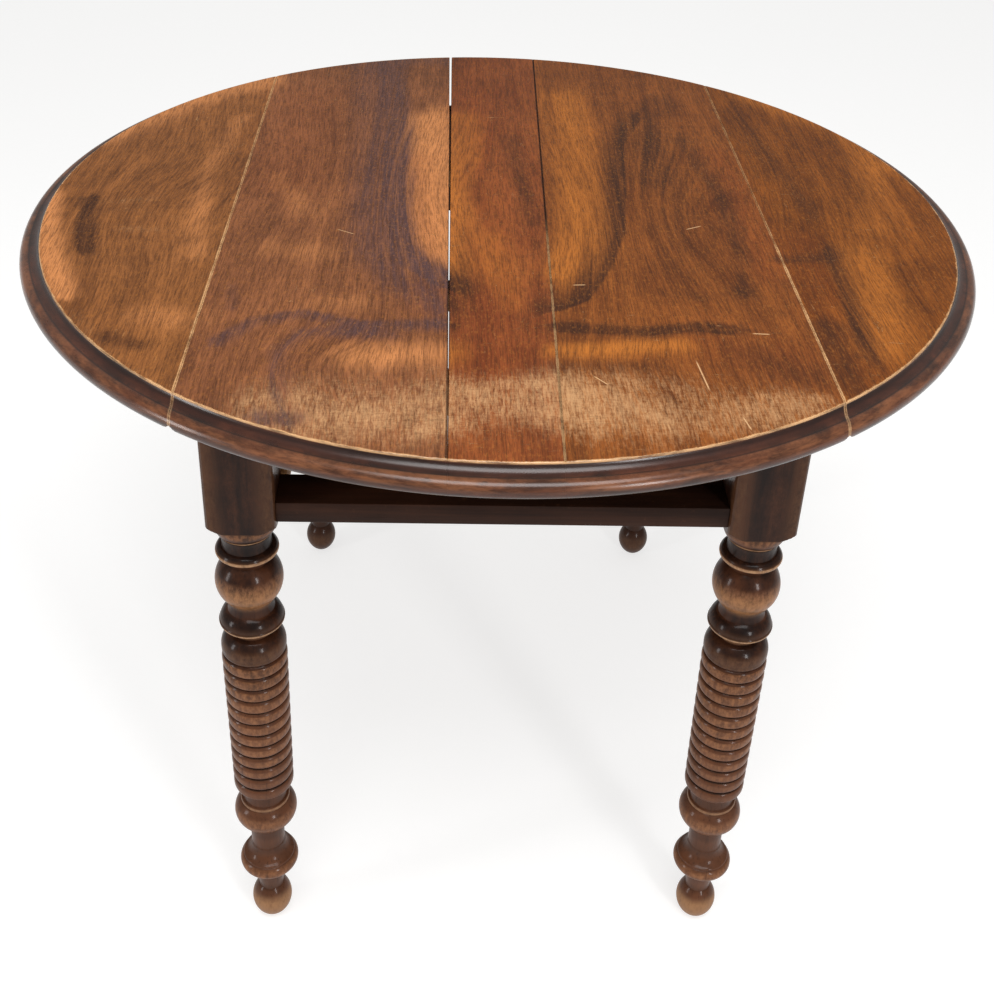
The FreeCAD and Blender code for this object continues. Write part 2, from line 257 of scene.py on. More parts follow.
floor_reach = 9.0
floor_mesh = bpy.data.meshes.new("floor")
floor_mesh.from_pydata(
    [(x * floor_reach, y * floor_reach, 0) for x, y in ((-1, -1), (1, -1), (1, 1), (-1, 1))],
    [],
    [(0, 1, 2, 3)],
)
floor = bpy.data.objects.new("floor", floor_mesh)
bpy.context.collection.objects.link(floor)
paper = Finish("floor_paper", Specular_IOR_Level=0.1, Emission_Color=(1, 1, 1, 1), Emission_Strength=0.66)
pale, paler, paper_dullness, paper_relief = (0.44, 0.44, 0.438, 1), (0.47, 0.47, 0.468, 1), 0.9, 0.0001
fleck = paper.noise(60, detail=2)
paper_colour = paper.blend(fleck, pale, paler)
floor_mesh.materials.append(paper.dress(paper_colour, paper_dullness, fleck, paper_relief))
print("floor", floor_reach * 2, "m wide, three lamps")

# %% [markdown]
# The boards show the walnut's own figure: dark bands, an arch, a tall pointed figure and
# golden patches. One way is a picture of the wood, but this part carries no pictures. So each
# figure is a brush stroke along a few points on the top, with a soft and a sharp side, and
# every vertex keeps how much dark, golden, red and worn it has. A fifth number bends the
# grain: it is the distance across the boards, pushed aside by a few swells.

# %% Strokes of the wood figure
# Each row: amount, width to the left of the stroke, width to its right, points of the stroke.
dark_strokes = (
    (0.95, 26, 7, (
        (-150, 470), (-146, 425), (-126, 234), (-118, -24), (-112, -102), (-97, -140), (-59, -188),
    )),
    (0.55, 30, 30, ((-160, 420), (-147, 179), (-139, -24), (-131, -117), (-100, -179), (-59, -232))),
    (0.85, 3, 4, ((-126, 234), (-118, -24), (-112, -102), (-97, -140), (-59, -188))),
    (0.45, 40, 30, ((-202, 455), (-136, 458), (-70, 462))),
    (0.65, 16, 8, ((-58, -262), (-134, -266), (-161, -256), (-189, -246), (-233, -262), (-262, -300))),
    (0.55, 10, 16, ((-196, -390), (-206, -316), (-188, -284), (-161, -279), (-110, -284))),
    (0.75, 18, 14, ((-206, -424), (-180, -424))),
    (0.35, 10, 10, ((-262, -200), (-255, -240))),
    (0.98, 16, 7, ((-441, -8), (-435, -66), (-420, -128))),
    (0.55, 14, 14, ((-362, -297), (-326, -310))),
    (0.30, 22, 22, ((-420, 60), (-360, 90), (-330, 20))),
    (0.35, 12, 12, ((-296, 120), (-293, -60))),
    (0.45, 16, 16, ((16, 190), (31, -48))),
    (0.30, 14, 14, ((-40, 300), (-34, 60), (-42, -200))),
    (0.60, 3, 30, ((181, 262), (149, 172), (137, 28), (126, -68), (103, -150), (78, -211), (49, -233))),
    (0.95, 4, 4, ((181, 262), (149, 172), (137, 28), (126, -68), (103, -150), (78, -211), (49, -233))),
    (0.48, 26, 26, ((215, 330), (198, 258), (183, 167), (178, 68))),
    (0.46, 22, 9, ((223, 195), (244, 45), (245, -52), (240, -139), (231, -190))),
    (0.32, 42, 42, ((190, 180), (186, 20), (176, -150))),
    (0.34, 16, 10, ((155, -202), (195, -206), (231, -196))),
    (0.70, 9, 18, ((49, -262), (128, -269), (175, -258), (215, -262))),
    (0.90, 4, 3, ((49, -272), (128, -275), (175, -266), (205, -272))),
    (0.40, 16, 16, ((44, -338), (127, -334))),
    (0.45, 30, 30, ((215, -310), (262, -345))),
    (0.45, 16, 12, ((284, -122), (331, -118))),
    (0.60, 26, 6, ((334, -100), (330, -190), (319, -310))),
    (0.50, 26, 22, ((296, -258), (298, -370))),
    (0.40, 20, 20, ((305, 300), (318, 170), (342, -12))),
    (0.30, 10, 10, ((362, 280), (380, 60))),
)
golden_strokes = (
    (0.85, 60, 36, ((-82, 236), (-80, 38), (-72, -110), (-62, -150))),
    (0.35, 30, 30, ((-232, -116), (-176, -125))),
    (0.35, 22, 26, ((-169, -228), (-140, -226))),
    (0.62, 28, 28, ((-135, -322), (-55, -316))),
    (0.35, 20, 20, ((-245, 60), (-205, -30))),
    (0.42, 15, 18, ((-304, 240), (-313, 209), (-326, 54), (-304, -134))),
    (1.00, 18, 12, ((-486, 0), (-468, -80), (-446, -150), (-416, -220))),
    (0.38, 28, 28, ((-332, -255), (-290, -262))),
    (0.80, 30, 40, ((-470, 170), (-392, 287), (-308, 370))),
    (0.12, 40, 40, ((-400, 60), (-350, -150))),
    (0.35, 17, 17, ((-8, -85), (6, -230))),
    (0.35, 14, 14, ((-30, 250), (-25, 120))),
    (0.60, 40, 34, ((90, 330), (95, 130), (85, -60), (62, -160))),
    (0.15, 22, 22, ((196, 14), (194, -150))),
    (0.70, 14, 20, ((44, -306), (87, -302), (158, -293))),
    (0.58, 38, 40, ((372, -110), (362, -210), (345, -290))),
    (0.45, 40, 40, ((440, 120), (400, -40))),
    (0.55, 30, 30, ((330, 350), (420, 250), (470, 130))),
)
red_strokes = (
    (0.60, 22, 22, ((261, 150), (266, -14), (264, -150))),
    (0.45, 40, 40, ((190, -290), (254, -330))),
    (0.50, 22, 22, ((-95, 120), (-70, -230))),
    (0.60, 30, 30, ((-30, 320), (-10, 0), (-14, -340))),
    (0.35, 60, 60, ((-230, 300), (-230, 60))),
    (0.40, 30, 30, ((310, -80), (312, -360))),
)
worn_strokes = (
    (0.80, 44, 40, ((-200, -412), (-150, -425), (-104, -425), (-60, -415))),
    (0.35, 40, 40, ((-150, -375), (-80, -370))),
    (0.85, 40, 32, ((-40, -395), (0, -390), (30, -392))),
    (0.90, 34, 34, ((50, -372), (80, -385))),
    (0.75, 40, 44, ((60, -415), (120, -418), (180, -405), (215, -395))),
    (0.70, 16, 16, ((225, -402), (264, -384))),
    (0.40, 30, 30, ((90, -355), (150, -360))),
    (0.25, 12, 12, ((-300, -375), (-350, -322), (-400, -255))),
    (0.40, 12, 10, ((-422, -17), (-374, -5))),
    (0.40, 12, 10, ((-390, -80), (-353, -79))),
)
# Each row: push of the grain, middle of the swell, its reach across and along the boards.
grain_swells = (
    (46, (-70, 30), (62, 190)),
    (52, (-168, -345), (56, 64)),
    (-40, (-225, 80), (60, 200)),
    (58, (192, -40), (64, 190)),
    (-36, (80, -20), (50, 170)),
    (20, (110, -330), (70, 40)),
    (36, (-385, -40), (70, 120)),
    (-26, (-330, 130), (50, 120)),
    (22, (360, -160), (60, 160)),
    (-26, (300, 120), (40, 160)),
)
print("strokes:", len(dark_strokes), "dark", len(golden_strokes), "golden", len(red_strokes), "red")
print("wear strokes:", len(worn_strokes), "and swells of the grain:", len(grain_swells))

# %% Painting the figure on a mesh
far_away = 1e9


def stroke_amount(xy, strokes):
    """How strongly a set of strokes covers each point."""
    cover = np.zeros(len(xy))
    for amount, left, right_side, points in strokes:
        nearest = np.full(len(xy), far_away)
        width = np.full(len(xy), float(left))
        for start, end in zip(points, points[1:]):
            a, run = np.array(start, float), np.subtract(end, start).astype(float)
            along = np.clip(((xy - a) @ run) / (run @ run), 0, 1)
            away = xy - a - along[:, None] * run
            distance = np.hypot(*away.T)
            closer = distance < nearest
            nearest = np.where(closer, distance, nearest)
            side = run[0] * away[:, 1] - run[1] * away[:, 0]
            width = np.where(closer, np.where(side > 0, left, right_side), width)
        cover = 1 - (1 - cover) * (1 - amount * np.exp(-((nearest / width) ** 2)))
    return cover


def paint_figure(mesh):
    """Stores the wood figure and the bent grain on a mesh."""
    points = np.empty(len(mesh.vertices) * 3)
    mesh.vertices.foreach_get("co", points)
    xy = points.reshape(-1, 3)[:, :2] / MM
    channels = [stroke_amount(xy, s) for s in (dark_strokes, golden_strokes, red_strokes, worn_strokes)]
    figure = mesh.attributes.new("figure", "FLOAT_COLOR", "POINT")
    figure.data.foreach_set("color", np.stack(channels, -1).ravel())
    across = xy[:, 0].copy()
    for push, middle, reach in grain_swells:
        across += push * np.exp(-(((xy - middle) / reach) ** 2).sum(1))
    mesh.attributes.new("grain", "FLOAT", "POINT").data.foreach_set("value", across * MM)


print("channels of the figure: dark, golden, red, worn; one more for the grain")

# %% [markdown]
# The rim has a sharp arris, a shallow cove and a round nose. The profile is written once, as
# radius and height, and every board and leaf is cut from the same rim. It could be a curve with
# a bevel, but the boards end on the seams, so the profile is followed point by point.

# %% Rim profile
table_height, underside, rim_radius = 740.0, 718.0, 500.0
arris_radius, cove_start, cove_end = 479.5, 738.0, (490.0, 732.0)
cove_sag, nose_height, nose_radius = 1.8, 5.5, 8.6125
nose_middle = rim_radius - nose_radius
cove_steps, nose_steps, nose_end_turn, rim_foot = 10, 14, 0.12, 0.9
# The rubbed arris: how far out from its radius and how far below the top each of its points lies.
arris_points = ((-1.4, 0.0), (-0.5, 0.12), (-0.05, 0.55), (0.1, 1.65))


def rim_profile():
    """Radius and height from the top's arris out and down to the underside."""
    rows = [(arris_radius + out, table_height - drop) for out, drop in arris_points]
    run, fall = cove_end[0] - arris_radius, cove_start - cove_end[1]
    length = math.hypot(run, fall)
    for k in range(1, cove_steps):
        t = k / cove_steps
        sag = 4 * t * (1 - t) * cove_sag / length
        rows.append((arris_radius + run * t - fall * sag, cove_start - fall * t - run * sag))
    rise = cove_end[1] - underside - nose_height
    first = math.atan2(rise, cove_end[0] - nose_middle)
    last = -math.asin(nose_height / nose_radius) + nose_end_turn
    for k in range(nose_steps + 1):
        angle = first + (last - first) * k / nose_steps
        rows.append((
            nose_middle + nose_radius * math.cos(angle),
            underside + nose_height + nose_radius * math.sin(angle),
        ))
    rows.append((rows[-1][0] - rim_foot, underside))
    return rows


profile = rim_profile()
print("rim profile:", len(profile), "points")

# %% [markdown]
# A board is a stack of cross-sections. Each one runs up the front moulding, along the top, down
# the back moulding and home along the underside, so the moulding bends round the plan without
# any join. The seam edges have a small bevel above, and the hinge seams a chamfer below that
# makes room for the knuckles.

# %% Words for moulded pieces
seam_bevel, seam_chamfer, merge_reach, least_edge = 0.7, 5.0, 2e-6, 1e-6


def link_piece(name, mesh):
    """A new object at the origin."""
    piece = bpy.data.objects.new(name, mesh)
    bpy.context.collection.objects.link(piece)
    return piece


def solid_mesh(name, points, faces):
    """A mesh in metres from points in millimetres, with doubles merged and faces outwards."""
    work = bmesh.new()
    corners = [work.verts.new(np.multiply(p, MM)) for p in points]
    for face in faces:
        work.faces.new([corners[i] for i in face])
    bmesh.ops.remove_doubles(work, verts=work.verts, dist=merge_reach)
    bmesh.ops.dissolve_degenerate(work, edges=work.edges, dist=least_edge)
    bmesh.ops.recalc_face_normals(work, faces=work.faces)
    mesh = bpy.data.meshes.new(name)
    work.to_mesh(mesh)
    work.free()
    return mesh


def ease_seams(points, hinge_gaps, plain_gaps):
    """Lowers the top edge at every seam and cuts the chamfer under the hinge seams."""
    z = points[:, 2]
    edge = np.minimum(hinge_gaps, plain_gaps)
    top = table_height - np.clip(seam_bevel - edge, 0, None)
    low = underside + np.clip(seam_chamfer - hinge_gaps, 0, None)
    points[:, 2] = np.minimum(np.maximum(z, low), top)


def strip(first, second, count, steps):
    """Faces between two rows of points; first and second are the numbers of their first points."""
    pairs = [(k, (k + 1) % count) for k in range(steps)]
    return [(first + k, first + n, second + n, second + k) for k, n in pairs]


def loft(columns):
    """Faces between neighbouring closed sections, with both ends closed."""
    count = len(columns[0])
    faces = []
    for c in range(len(columns) - 1):
        faces += strip(c * count, (c + 1) * count, count, count)
    last = (len(columns) - 1) * count
    return faces + [tuple(range(count)), tuple(range(last, last + count))[::-1]]


print("seam bevel", seam_bevel, "mm, chamfer below", seam_chamfer, "mm")

# %% Boards of the fixed centre
grid_step, seam_edge, top_rows, under_rows, least_spacing = 3.0, 283.85, 320, 90, 0.6


def board_mesh(name, left, right_edge, hinge_side):
    """A board between two straight edges, each given by its X at the front and at the back."""
    width = np.mean(right_edge) - np.mean(left)
    inner = np.linspace(0, width, round(width / grid_step) + 1)[1:-1]
    offsets = [0, seam_bevel, seam_chamfer, width - seam_chamfer, width - seam_bevel, width]
    offsets = sorted(offsets + [v for v in inner if min(abs(v - o) for o in offsets) > least_spacing])
    columns = []
    for share in np.divide(offsets, width):
        x_front = left[0] + (right_edge[0] - left[0]) * share
        x_back = left[1] + (right_edge[1] - left[1]) * share
        lean = (x_back - x_front) / (2 * rim_radius)
        base = (x_front + x_back) / 2

        def reach(radius, sign):
            root = math.sqrt((base * lean) ** 2 - (1 + lean ** 2) * (base ** 2 - radius ** 2))
            return (-base * lean + sign * root) / (1 + lean ** 2)

        row = [(reach(r, -1), z) for r, z in reversed(profile)]
        row += [(y, table_height) for y in np.linspace(row[-1][0], reach(profile[0][0], 1), top_rows)[1:-1]]
        row += [(reach(r, 1), z) for r, z in profile]
        row += [(y, underside) for y in np.linspace(row[-1][0], row[0][0], under_rows)[1:-1]]
        columns.append([(base + lean * y, y, z) for y, z in row])
    points = np.array(columns).reshape(-1, 3)
    gap = np.repeat(np.minimum(offsets, np.subtract(width, offsets)), len(columns[0]))
    hinge_gap = np.full(len(points), far_away)
    if hinge_side:
        hinge_gap = seam_edge - hinge_side * points[:, 0]
    ease_seams(points, hinge_gap, gap)
    return solid_mesh(name, points, loft(columns))


middle_left, middle_front, middle_back = -53.0, 39.0, 60.0
board_gap, crack_back = 0.05, 3.0
# Each board: its left edge and its right edge, at the front and at the back, and its hinge side.
board_edges = {
    "left": ((-seam_edge, -seam_edge), (middle_left - board_gap, middle_left - crack_back), -1),
    "middle": ((middle_left, middle_left), (middle_front, middle_back), 0),
    "right": ((middle_front + board_gap, middle_back + board_gap), (seam_edge, seam_edge), 1),
}
top_meshes = {}
for name, edges in board_edges.items():
    top_meshes["top_board_" + name] = board_mesh("moulded_board_" + name, *edges)
print("boards:", [len(m.polygons) for m in top_meshes.values()], "faces")

# %% [markdown]
# A leaf is the part of the circle outside a hinge seam. Sections across it would shrink to
# nothing at its tip, so it is laid out in spokes instead: each spoke runs from the seam to the
# rim, and the spokes at both ends close up into the corners.

# %% Leaves
leaf_edge, spokes, leaf_rows, leaf_under_rows, least_span = 284.15, 260, 66, 30, 1e-9


def leaf_mesh(name, side):
    """A drop leaf from spokes between the hinge seam and the rim."""
    wide = spokes + 1
    swing = np.linspace(-1, 1, wide)

    def rim(radius, z):
        """A row of points along the rim."""
        angle = swing * math.acos(leaf_edge / radius)
        return np.stack([radius * np.cos(angle), radius * np.sin(angle), np.full(wide, z)], -1)

    def fan(ring, steps, ledge):
        """Rows from the seam to a ring, with one row at the foot of the seam's bevel."""
        seam = ring.copy()
        seam[:, 0] = leaf_edge
        seam[:, 1] = swing * abs(ring[0, 1])
        span = np.maximum(ring[:, 0] - leaf_edge, least_span)
        rows = [seam, seam + (ring - seam) * np.minimum(1, ledge / span)[:, None]]
        first = np.minimum(1, 2 * ledge / span)[:, None]
        for t in np.linspace(0, 1, steps)[:-1]:
            rows.append(seam + (ring - seam) * (first + (1 - first) * t))
        return rows

    outer, foot = rim(*profile[0]), rim(*profile[-1])
    rings = fan(outer, leaf_rows, seam_bevel)
    rings += [rim(r, z) for r, z in profile]
    rings += fan(foot, leaf_under_rows, seam_chamfer)[::-1]
    points = np.array(rings).reshape(-1, 3)
    seam_gap = points[:, 0] - leaf_edge
    ease_seams(points, seam_gap, seam_gap)
    points[:, 0] *= side
    faces = []
    for r in range(len(rings)):
        faces += strip(r * wide, (r + 1) % len(rings) * wide, wide, spokes)
    return solid_mesh(name, points, faces)


for name, side in SIDES.items():
    top_meshes["leaf_" + name] = leaf_mesh("moulded_leaf_" + name, side)
print("leaves:", [len(top_meshes["leaf_" + n].polygons) for n in SIDES], "faces")

# %% [markdown]
# The hinge plates lie in shallow seats in the underside. A Boolean with plain boxes cuts them,
# as a chisel would, and the cutter is deleted at once. The wood figure is stored after the cut,
# so the new vertices carry it too.

# %% Hinge seats
seam_x, seat_low, seat_high, seat_clear = 284.0, 700.0, 720.0, 0.3
hinge_y = [end * 255.1 for end in ENDS.values()]
hinge_half, fixed_reach, leaf_reach, seat_overrun = 37.5, 36.0, 55.0, 2.0


def seat_boxes(side, reach):
    """A mesh of the boxes that cut one side's two seats."""
    work = bmesh.new()
    for y in hinge_y:
        overrun = math.copysign(seat_overrun, reach)
        x_low, x_high = sorted((side * (seam_x - overrun), side * (seam_x + reach)))
        size = (x_high - x_low, 2 * (hinge_half + seat_clear), seat_high - seat_low)
        middle = ((x_low + x_high) / 2, y, (seat_low + seat_high) / 2)
        scale = Matrix.Diagonal((*np.multiply(size, MM), 1))
        bmesh.ops.create_cube(work, size=1, matrix=Matrix.Translation(np.multiply(middle, MM)) @ scale)
    mesh = bpy.data.meshes.new("seat_boxes")
    work.to_mesh(mesh)
    work.free()
    return mesh


def settle(piece):
    """Puts the result of a piece's modifiers in place of its mesh."""
    bpy.context.view_layer.update()
    result = bpy.data.meshes.new_from_object(piece.evaluated_get(bpy.context.evaluated_depsgraph_get()))
    piece.modifiers.clear()
    result.name = piece.data.name
    piece.data = result


def cut_seats(piece, mesh):
    """Cuts boxes out of a piece and leaves a plain mesh."""
    cutter = link_piece("cutter", mesh)
    cut = piece.modifiers.new("seats", "BOOLEAN")
    cut.object = cutter
    cut.solver = "EXACT"
    settle(piece)
    bpy.data.objects.remove(cutter)


print("hinge seats at", hinge_y, "mm from the middle")

# %% Pieces of the top
top_crease = 38


def smooth_by_angle(mesh, degrees):
    """Smooth shading with the edges that are sharper than an angle kept crisp."""
    mesh.shade_smooth()
    mesh.set_sharp_from_angle(angle=math.radians(degrees))


top_pieces = {}
for node, mesh in top_meshes.items():
    piece = link_piece(mesh.name, mesh)
    for name, side in SIDES.items():
        if node == "top_board_" + name:
            cut_seats(piece, seat_boxes(side, -(fixed_reach + seat_clear)))
        if node == "leaf_" + name:
            cut_seats(piece, seat_boxes(side, leaf_reach + seat_clear))
    smooth_by_angle(piece.data, top_crease)
    paint_figure(piece.data)
    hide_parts(node)
    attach(piece, node if node.startswith("leaf") else "frame")
    top_pieces[node] = piece
print("top pieces:", {n: len(p.data.polygons) for n, p in top_pieces.items()})

# %% [markdown]
# Old polished walnut is many thin layers: broad figure, fine streaks along the grain, pores,
# scratches, and pale bare wood where hands have worn the edges. The streaks read the bent grain
# stored on the mesh, so they flow round the figure. The rim is darker, because old polish
# gathers in mouldings, and its arris is rubbed pale.

# %% Scratches and wear of the top
def mark(wood, x, y, start, end, width):
    """How much of a straight scratch lies at each point; start and end are on the top."""
    run = Vector(end) - Vector(start)
    ahead = run.normalized()
    middle = (Vector(start) + Vector(end)) / 2
    dx, dy = wood.sum(x, -middle.x * MM), wood.sum(y, -middle.y * MM)
    along = wood.weigh(dx, ahead.x, dy, ahead.y)
    across = wood.weigh(dx, -ahead.y, dy, ahead.x)
    half = run.length / 2 * MM
    inside = wood.step(wood.far(along), half, half * 0.6)
    return wood.times(inside, wood.step(wood.far(across), width * MM, width * MM * 0.4))


def bare_patches(wood, worn, dark):
    """Where polish has worn through: the wear strokes broken by fine crackle, less on dark figure."""
    along = wood.noise(480, (1, 0.13, 1), detail=4, rough=0.75, warp=0.5)
    over = wood.noise(460, (0.28, 1, 1), detail=4, rough=0.75, warp=0.6)
    crackle = wood.weigh(along, 0.72, over, 0.28)
    patch = wood.noise(26, (1, 0.8, 1), detail=6, rough=0.72)
    rubbed = wood.weigh(wood.sum(crackle, -0.5), 4.2, wood.sum(patch, -0.5), 1.8)
    rubbed = wood.sum(rubbed, wood.times(worn, 0.92))
    bare = wood.times(wood.step(rubbed, 0.0, 1.7, 0.0, 0.70), wood.step(worn, 0.02, 0.65))
    return wood.times(bare, wood.step(dark, 0.1, 0.8, 1.0, 0.25))


def hair_scratches(wood, cloud):
    """Thin scratches both ways, gathered in some places."""
    hair = wood.step(wood.noise(30, (1, 11, 1), detail=4, rough=0.7, warp=2.0), 0.640, 0.668)
    nick = wood.step(wood.noise(34, (7, 1.3, 1), detail=4, rough=0.7, warp=1.6), 0.652, 0.675)
    return wood.times(wood.most(hair, nick), wood.step(cloud, 0.40, 0.60))


def worn_edges(wood, colour, seams):
    """Adds pale wood along the rim and beside the seams, and dirt inside them."""
    x, y, z = wood.axes()
    chips = wood.noise(52, detail=6, rough=0.75)
    near_rim = wood.step(wood.sum(wood.radius(x, y), wood.times(chips, 0.004)), 0.4796, 0.4812)
    edge = wood.times(near_rim, wood.step(chips, 0.34, 0.62, 0.15, 0.9))
    for place, lean, most, back_most, reach, dirt in seams:
        offset = wood.sum(wood.sum(x, -place), wood.times(y, -lean))
        gap = wood.far(offset)
        away = wood.sum(gap, wood.times(wood.sum(chips, -0.5), -0.002))
        most_here = wood.step(y, -0.12, -0.02, most, back_most)
        rub = wood.times(wood.step(away, reach, reach * 0.4), wood.step(chips, 0.26, 0.58, 0.35, 1.0))
        rub = wood.times(rub, most_here)
        edge = wood.most(edge, wood.times(rub, wood.step(z, 0.7300, 0.7360)))
        colour = wood.blend(wood.step(gap, 0.0016, 0.0007, 0.0, dirt), colour, tone(30, 18, 14))
    return wood.blend(edge, colour, tone(208, 164, 116))


print("wear: patches, scratches, edges")

# %% Finish of the top
def top_finish(name, low, high, dusk, gold, seams, marks):
    """Walnut for one board: its tones, the seams that are worn beside it and its scratches."""
    wood = Finish(name, Specular_IOR_Level=0.10)
    x, y, _ = wood.axes()
    dark, golden, red, worn = wood.stored("figure", channels=True)
    grain = wood.stored("grain")
    bent = wood.point(grain, wood.times(y, 0.05), 0.3)
    straight = wood.weigh(grain, 0.35, x, 0.65)
    plain = wood.point(straight, wood.times(y, 0.05), 0.3)
    ring = wood.noise(210, detail=4, rough=0.62, place=wood.point(grain, wood.times(y, 0.010), 0.7))
    streak = wood.noise(75, detail=6, rough=0.6, warp=0.15, place=bent)
    fine = wood.noise(500, detail=4, rough=0.75, place=plain)
    pore = wood.noise(820, (1, 1.3, 1), detail=2, rough=0.6, place=plain)
    cloud = wood.noise(13, detail=5, rough=0.6)
    speck = wood.noise(380, (1, 0.45, 1), detail=3, rough=0.7)
    # The broad figure: ground, golden and red patches, and the dark bands.
    body = wood.sum(wood.times(streak, 0.50), wood.weigh(cloud, 0.35, ring, 0.35))
    colour = wood.blend(wood.step(body, 0.38, 0.82), low, high)
    stray = wood.weigh(wood.sum(streak, -0.5), 0.55, wood.sum(ring, -0.5), 0.35)
    warm = wood.step(wood.sum(golden, stray), 0.05, 0.95)
    warm = wood.times(warm, wood.step(body, 0.35, 0.75, 0.62, 1.0))
    colour = wood.blend(warm, colour, gold)
    colour = wood.blend(wood.times(red, 0.5), colour, tone(138, 66, 30))
    ripple = wood.step(wood.weigh(streak, 0.6, ring, 0.4), 0.34, 0.66, 1.15, 0.55)
    deep = wood.step(wood.sum(dark, wood.times(stray, -0.6)), 0.08, 0.80)
    colour = wood.blend(wood.sum(wood.times(deep, ripple), 0.0, clamp=True), colour, dusk)
    # Growth rings, fine streaks, pores and light specks.
    colour = wood.blend(wood.step(ring, 0.50, 0.68, 0.0, 0.30), colour, tone(70, 40, 22))
    colour = wood.blend(wood.step(fine, 0.47, 0.60, 0.0, 0.46), colour, tone(62, 34, 18))
    colour = wood.blend(wood.step(fine, 0.46, 0.36, 0.0, 0.30), colour, high)
    colour = wood.blend(wood.step(pore, 0.50, 0.64, 0.0, 0.36), colour, tone(54, 30, 18))
    colour = wood.blend(wood.step(speck, 0.50, 0.70, 0.0, 0.22), colour, tone(186, 120, 56))
    # Wear, scratches and edges.
    bare = bare_patches(wood, worn, dark)
    colour = wood.blend(bare, colour, tone(214, 166, 118))
    scratch = hair_scratches(wood, cloud)
    colour = wood.blend(wood.times(scratch, 0.34), colour, tone(206, 154, 104))
    for start, end, width, shade in marks:
        colour = wood.blend(wood.times(mark(wood, x, y, start, end, width), 0.8), colour, shade)
    colour = worn_edges(wood, colour, seams)
    relief = wood.sum(wood.weigh(pore, -0.6, fine, -0.4), wood.weigh(bare, 0.3, scratch, -0.6))
    gloss = wood.sum(wood.step(speck, 0.3, 0.7, 0.40, 0.52), wood.times(bare, 0.18))
    return wood.dress(colour, gloss, relief, 0.0004)


print("recipe of the top ready")

# %% Finishes of the rim and the underside
def rim_finish():
    """The moulding: dark old polish, rubbed golden on the nose and pale on the arris."""
    wood = Finish("walnut_rim", Coat_Weight=0.60, Coat_Roughness=0.22, Specular_IOR_Level=0.1)
    x, y, z = wood.axes()
    streak = wood.noise(60, (0.3, 0.3, 2), detail=6, rough=0.65, warp=0.4)
    fine = wood.noise(430, (0.15, 0.15, 1), detail=4, rough=0.6)
    chips = wood.noise(170, (0.16, 0.16, 1), detail=5, rough=0.75)
    cloud = wood.noise(9, detail=4)
    radius = wood.radius(x, y)
    colour = wood.blend(wood.step(streak, 0.32, 0.70), tone(36, 18, 12), tone(78, 41, 25))
    nose = wood.times(wood.step(radius, 0.4892, 0.4925), wood.step(z, 0.7215, 0.7280))
    rub = wood.weigh(chips, 0.6, cloud, 0.4)
    colour = wood.blend(wood.times(nose, wood.step(rub, 0.40, 0.62, 0.08, 0.54)), colour, tone(146, 92, 58))
    colour = wood.blend(wood.step(fine, 0.52, 0.70, 0.0, 0.5), colour, tone(32, 19, 16))
    cove = wood.times(wood.step(radius, 0.4800, 0.4815), wood.step(radius, 0.4885, 0.4850))
    colour = wood.blend(wood.times(cove, 0.50), colour, tone(54, 28, 20))
    # Painted shade: a dark line in the upper cove just under the arris, and another in the crease where the
    # cove meets the nose.
    shade_under_arris = wood.times(wood.step(radius, 0.4798, 0.4803), wood.step(radius, 0.4840, 0.4812))
    join = wood.times(wood.step(radius, 0.4886, 0.4896), wood.step(radius, 0.4910, 0.4900))
    shade = wood.most(wood.times(shade_under_arris, 0.6), wood.times(join, 0.55))
    colour = wood.blend(shade, colour, tone(20, 11, 10))
    arris = wood.times(wood.step(z, 0.7376, 0.7386), wood.step(chips, 0.34, 0.60, 0.2, 0.9))
    colour = wood.blend(arris, colour, tone(214, 168, 120))
    end_gap = wood.far(wood.sum(wood.far(x), -seam_x * MM))
    ends = wood.times(wood.step(end_gap, 0.0020, 0.0007), wood.step(chips, 0.30, 0.60, 0.15, 0.60))
    colour = wood.blend(ends, colour, tone(196, 156, 114))
    # Painted shade on the lower edge of the nose, which faces down.
    foot = wood.step(z, 0.7215, 0.7190, 0.0, 0.6)
    colour = wood.blend(foot, colour, tone(34, 21, 18))
    gloss = wood.step(chips, 0.3, 0.7, 0.24, 0.42)
    relief = wood.weigh(fine, -0.6, chips, 0.5)
    return wood.dress(colour, gloss, relief, 0.0004)


def raw_finish():
    """The underside: planed and never polished."""
    wood = Finish("raw_walnut", Specular_IOR_Level=0.2)
    streak = wood.noise(60, (1, 0.06, 1), detail=6, rough=0.6, warp=0.2)
    fine = wood.noise(420, (1, 0.06, 1), detail=4, rough=0.6)
    stain = wood.noise(7, detail=4)
    colour = wood.blend(wood.step(streak, 0.3, 0.7), tone(82, 56, 38), tone(124, 90, 62))
    colour = wood.blend(wood.step(stain, 0.5, 0.7, 0.0, 0.5), colour, tone(62, 43, 31))
    colour = wood.blend(wood.step(fine, 0.54, 0.72, 0.0, 0.5), colour, tone(50, 33, 23))
    return wood.dress(colour, wood.step(streak, 0.3, 0.7, 0.66, 0.8), fine, 0.0003)


rim_walnut, raw_walnut = rim_finish(), raw_finish()
print("finishes:", rim_walnut.name, raw_walnut.name)

# %% Dressing the boards
below_tilt, below_reach, rim_inset, rim_lean, rim_tilt = -0.6, 6.0, 0.35, 0.02, 0.3


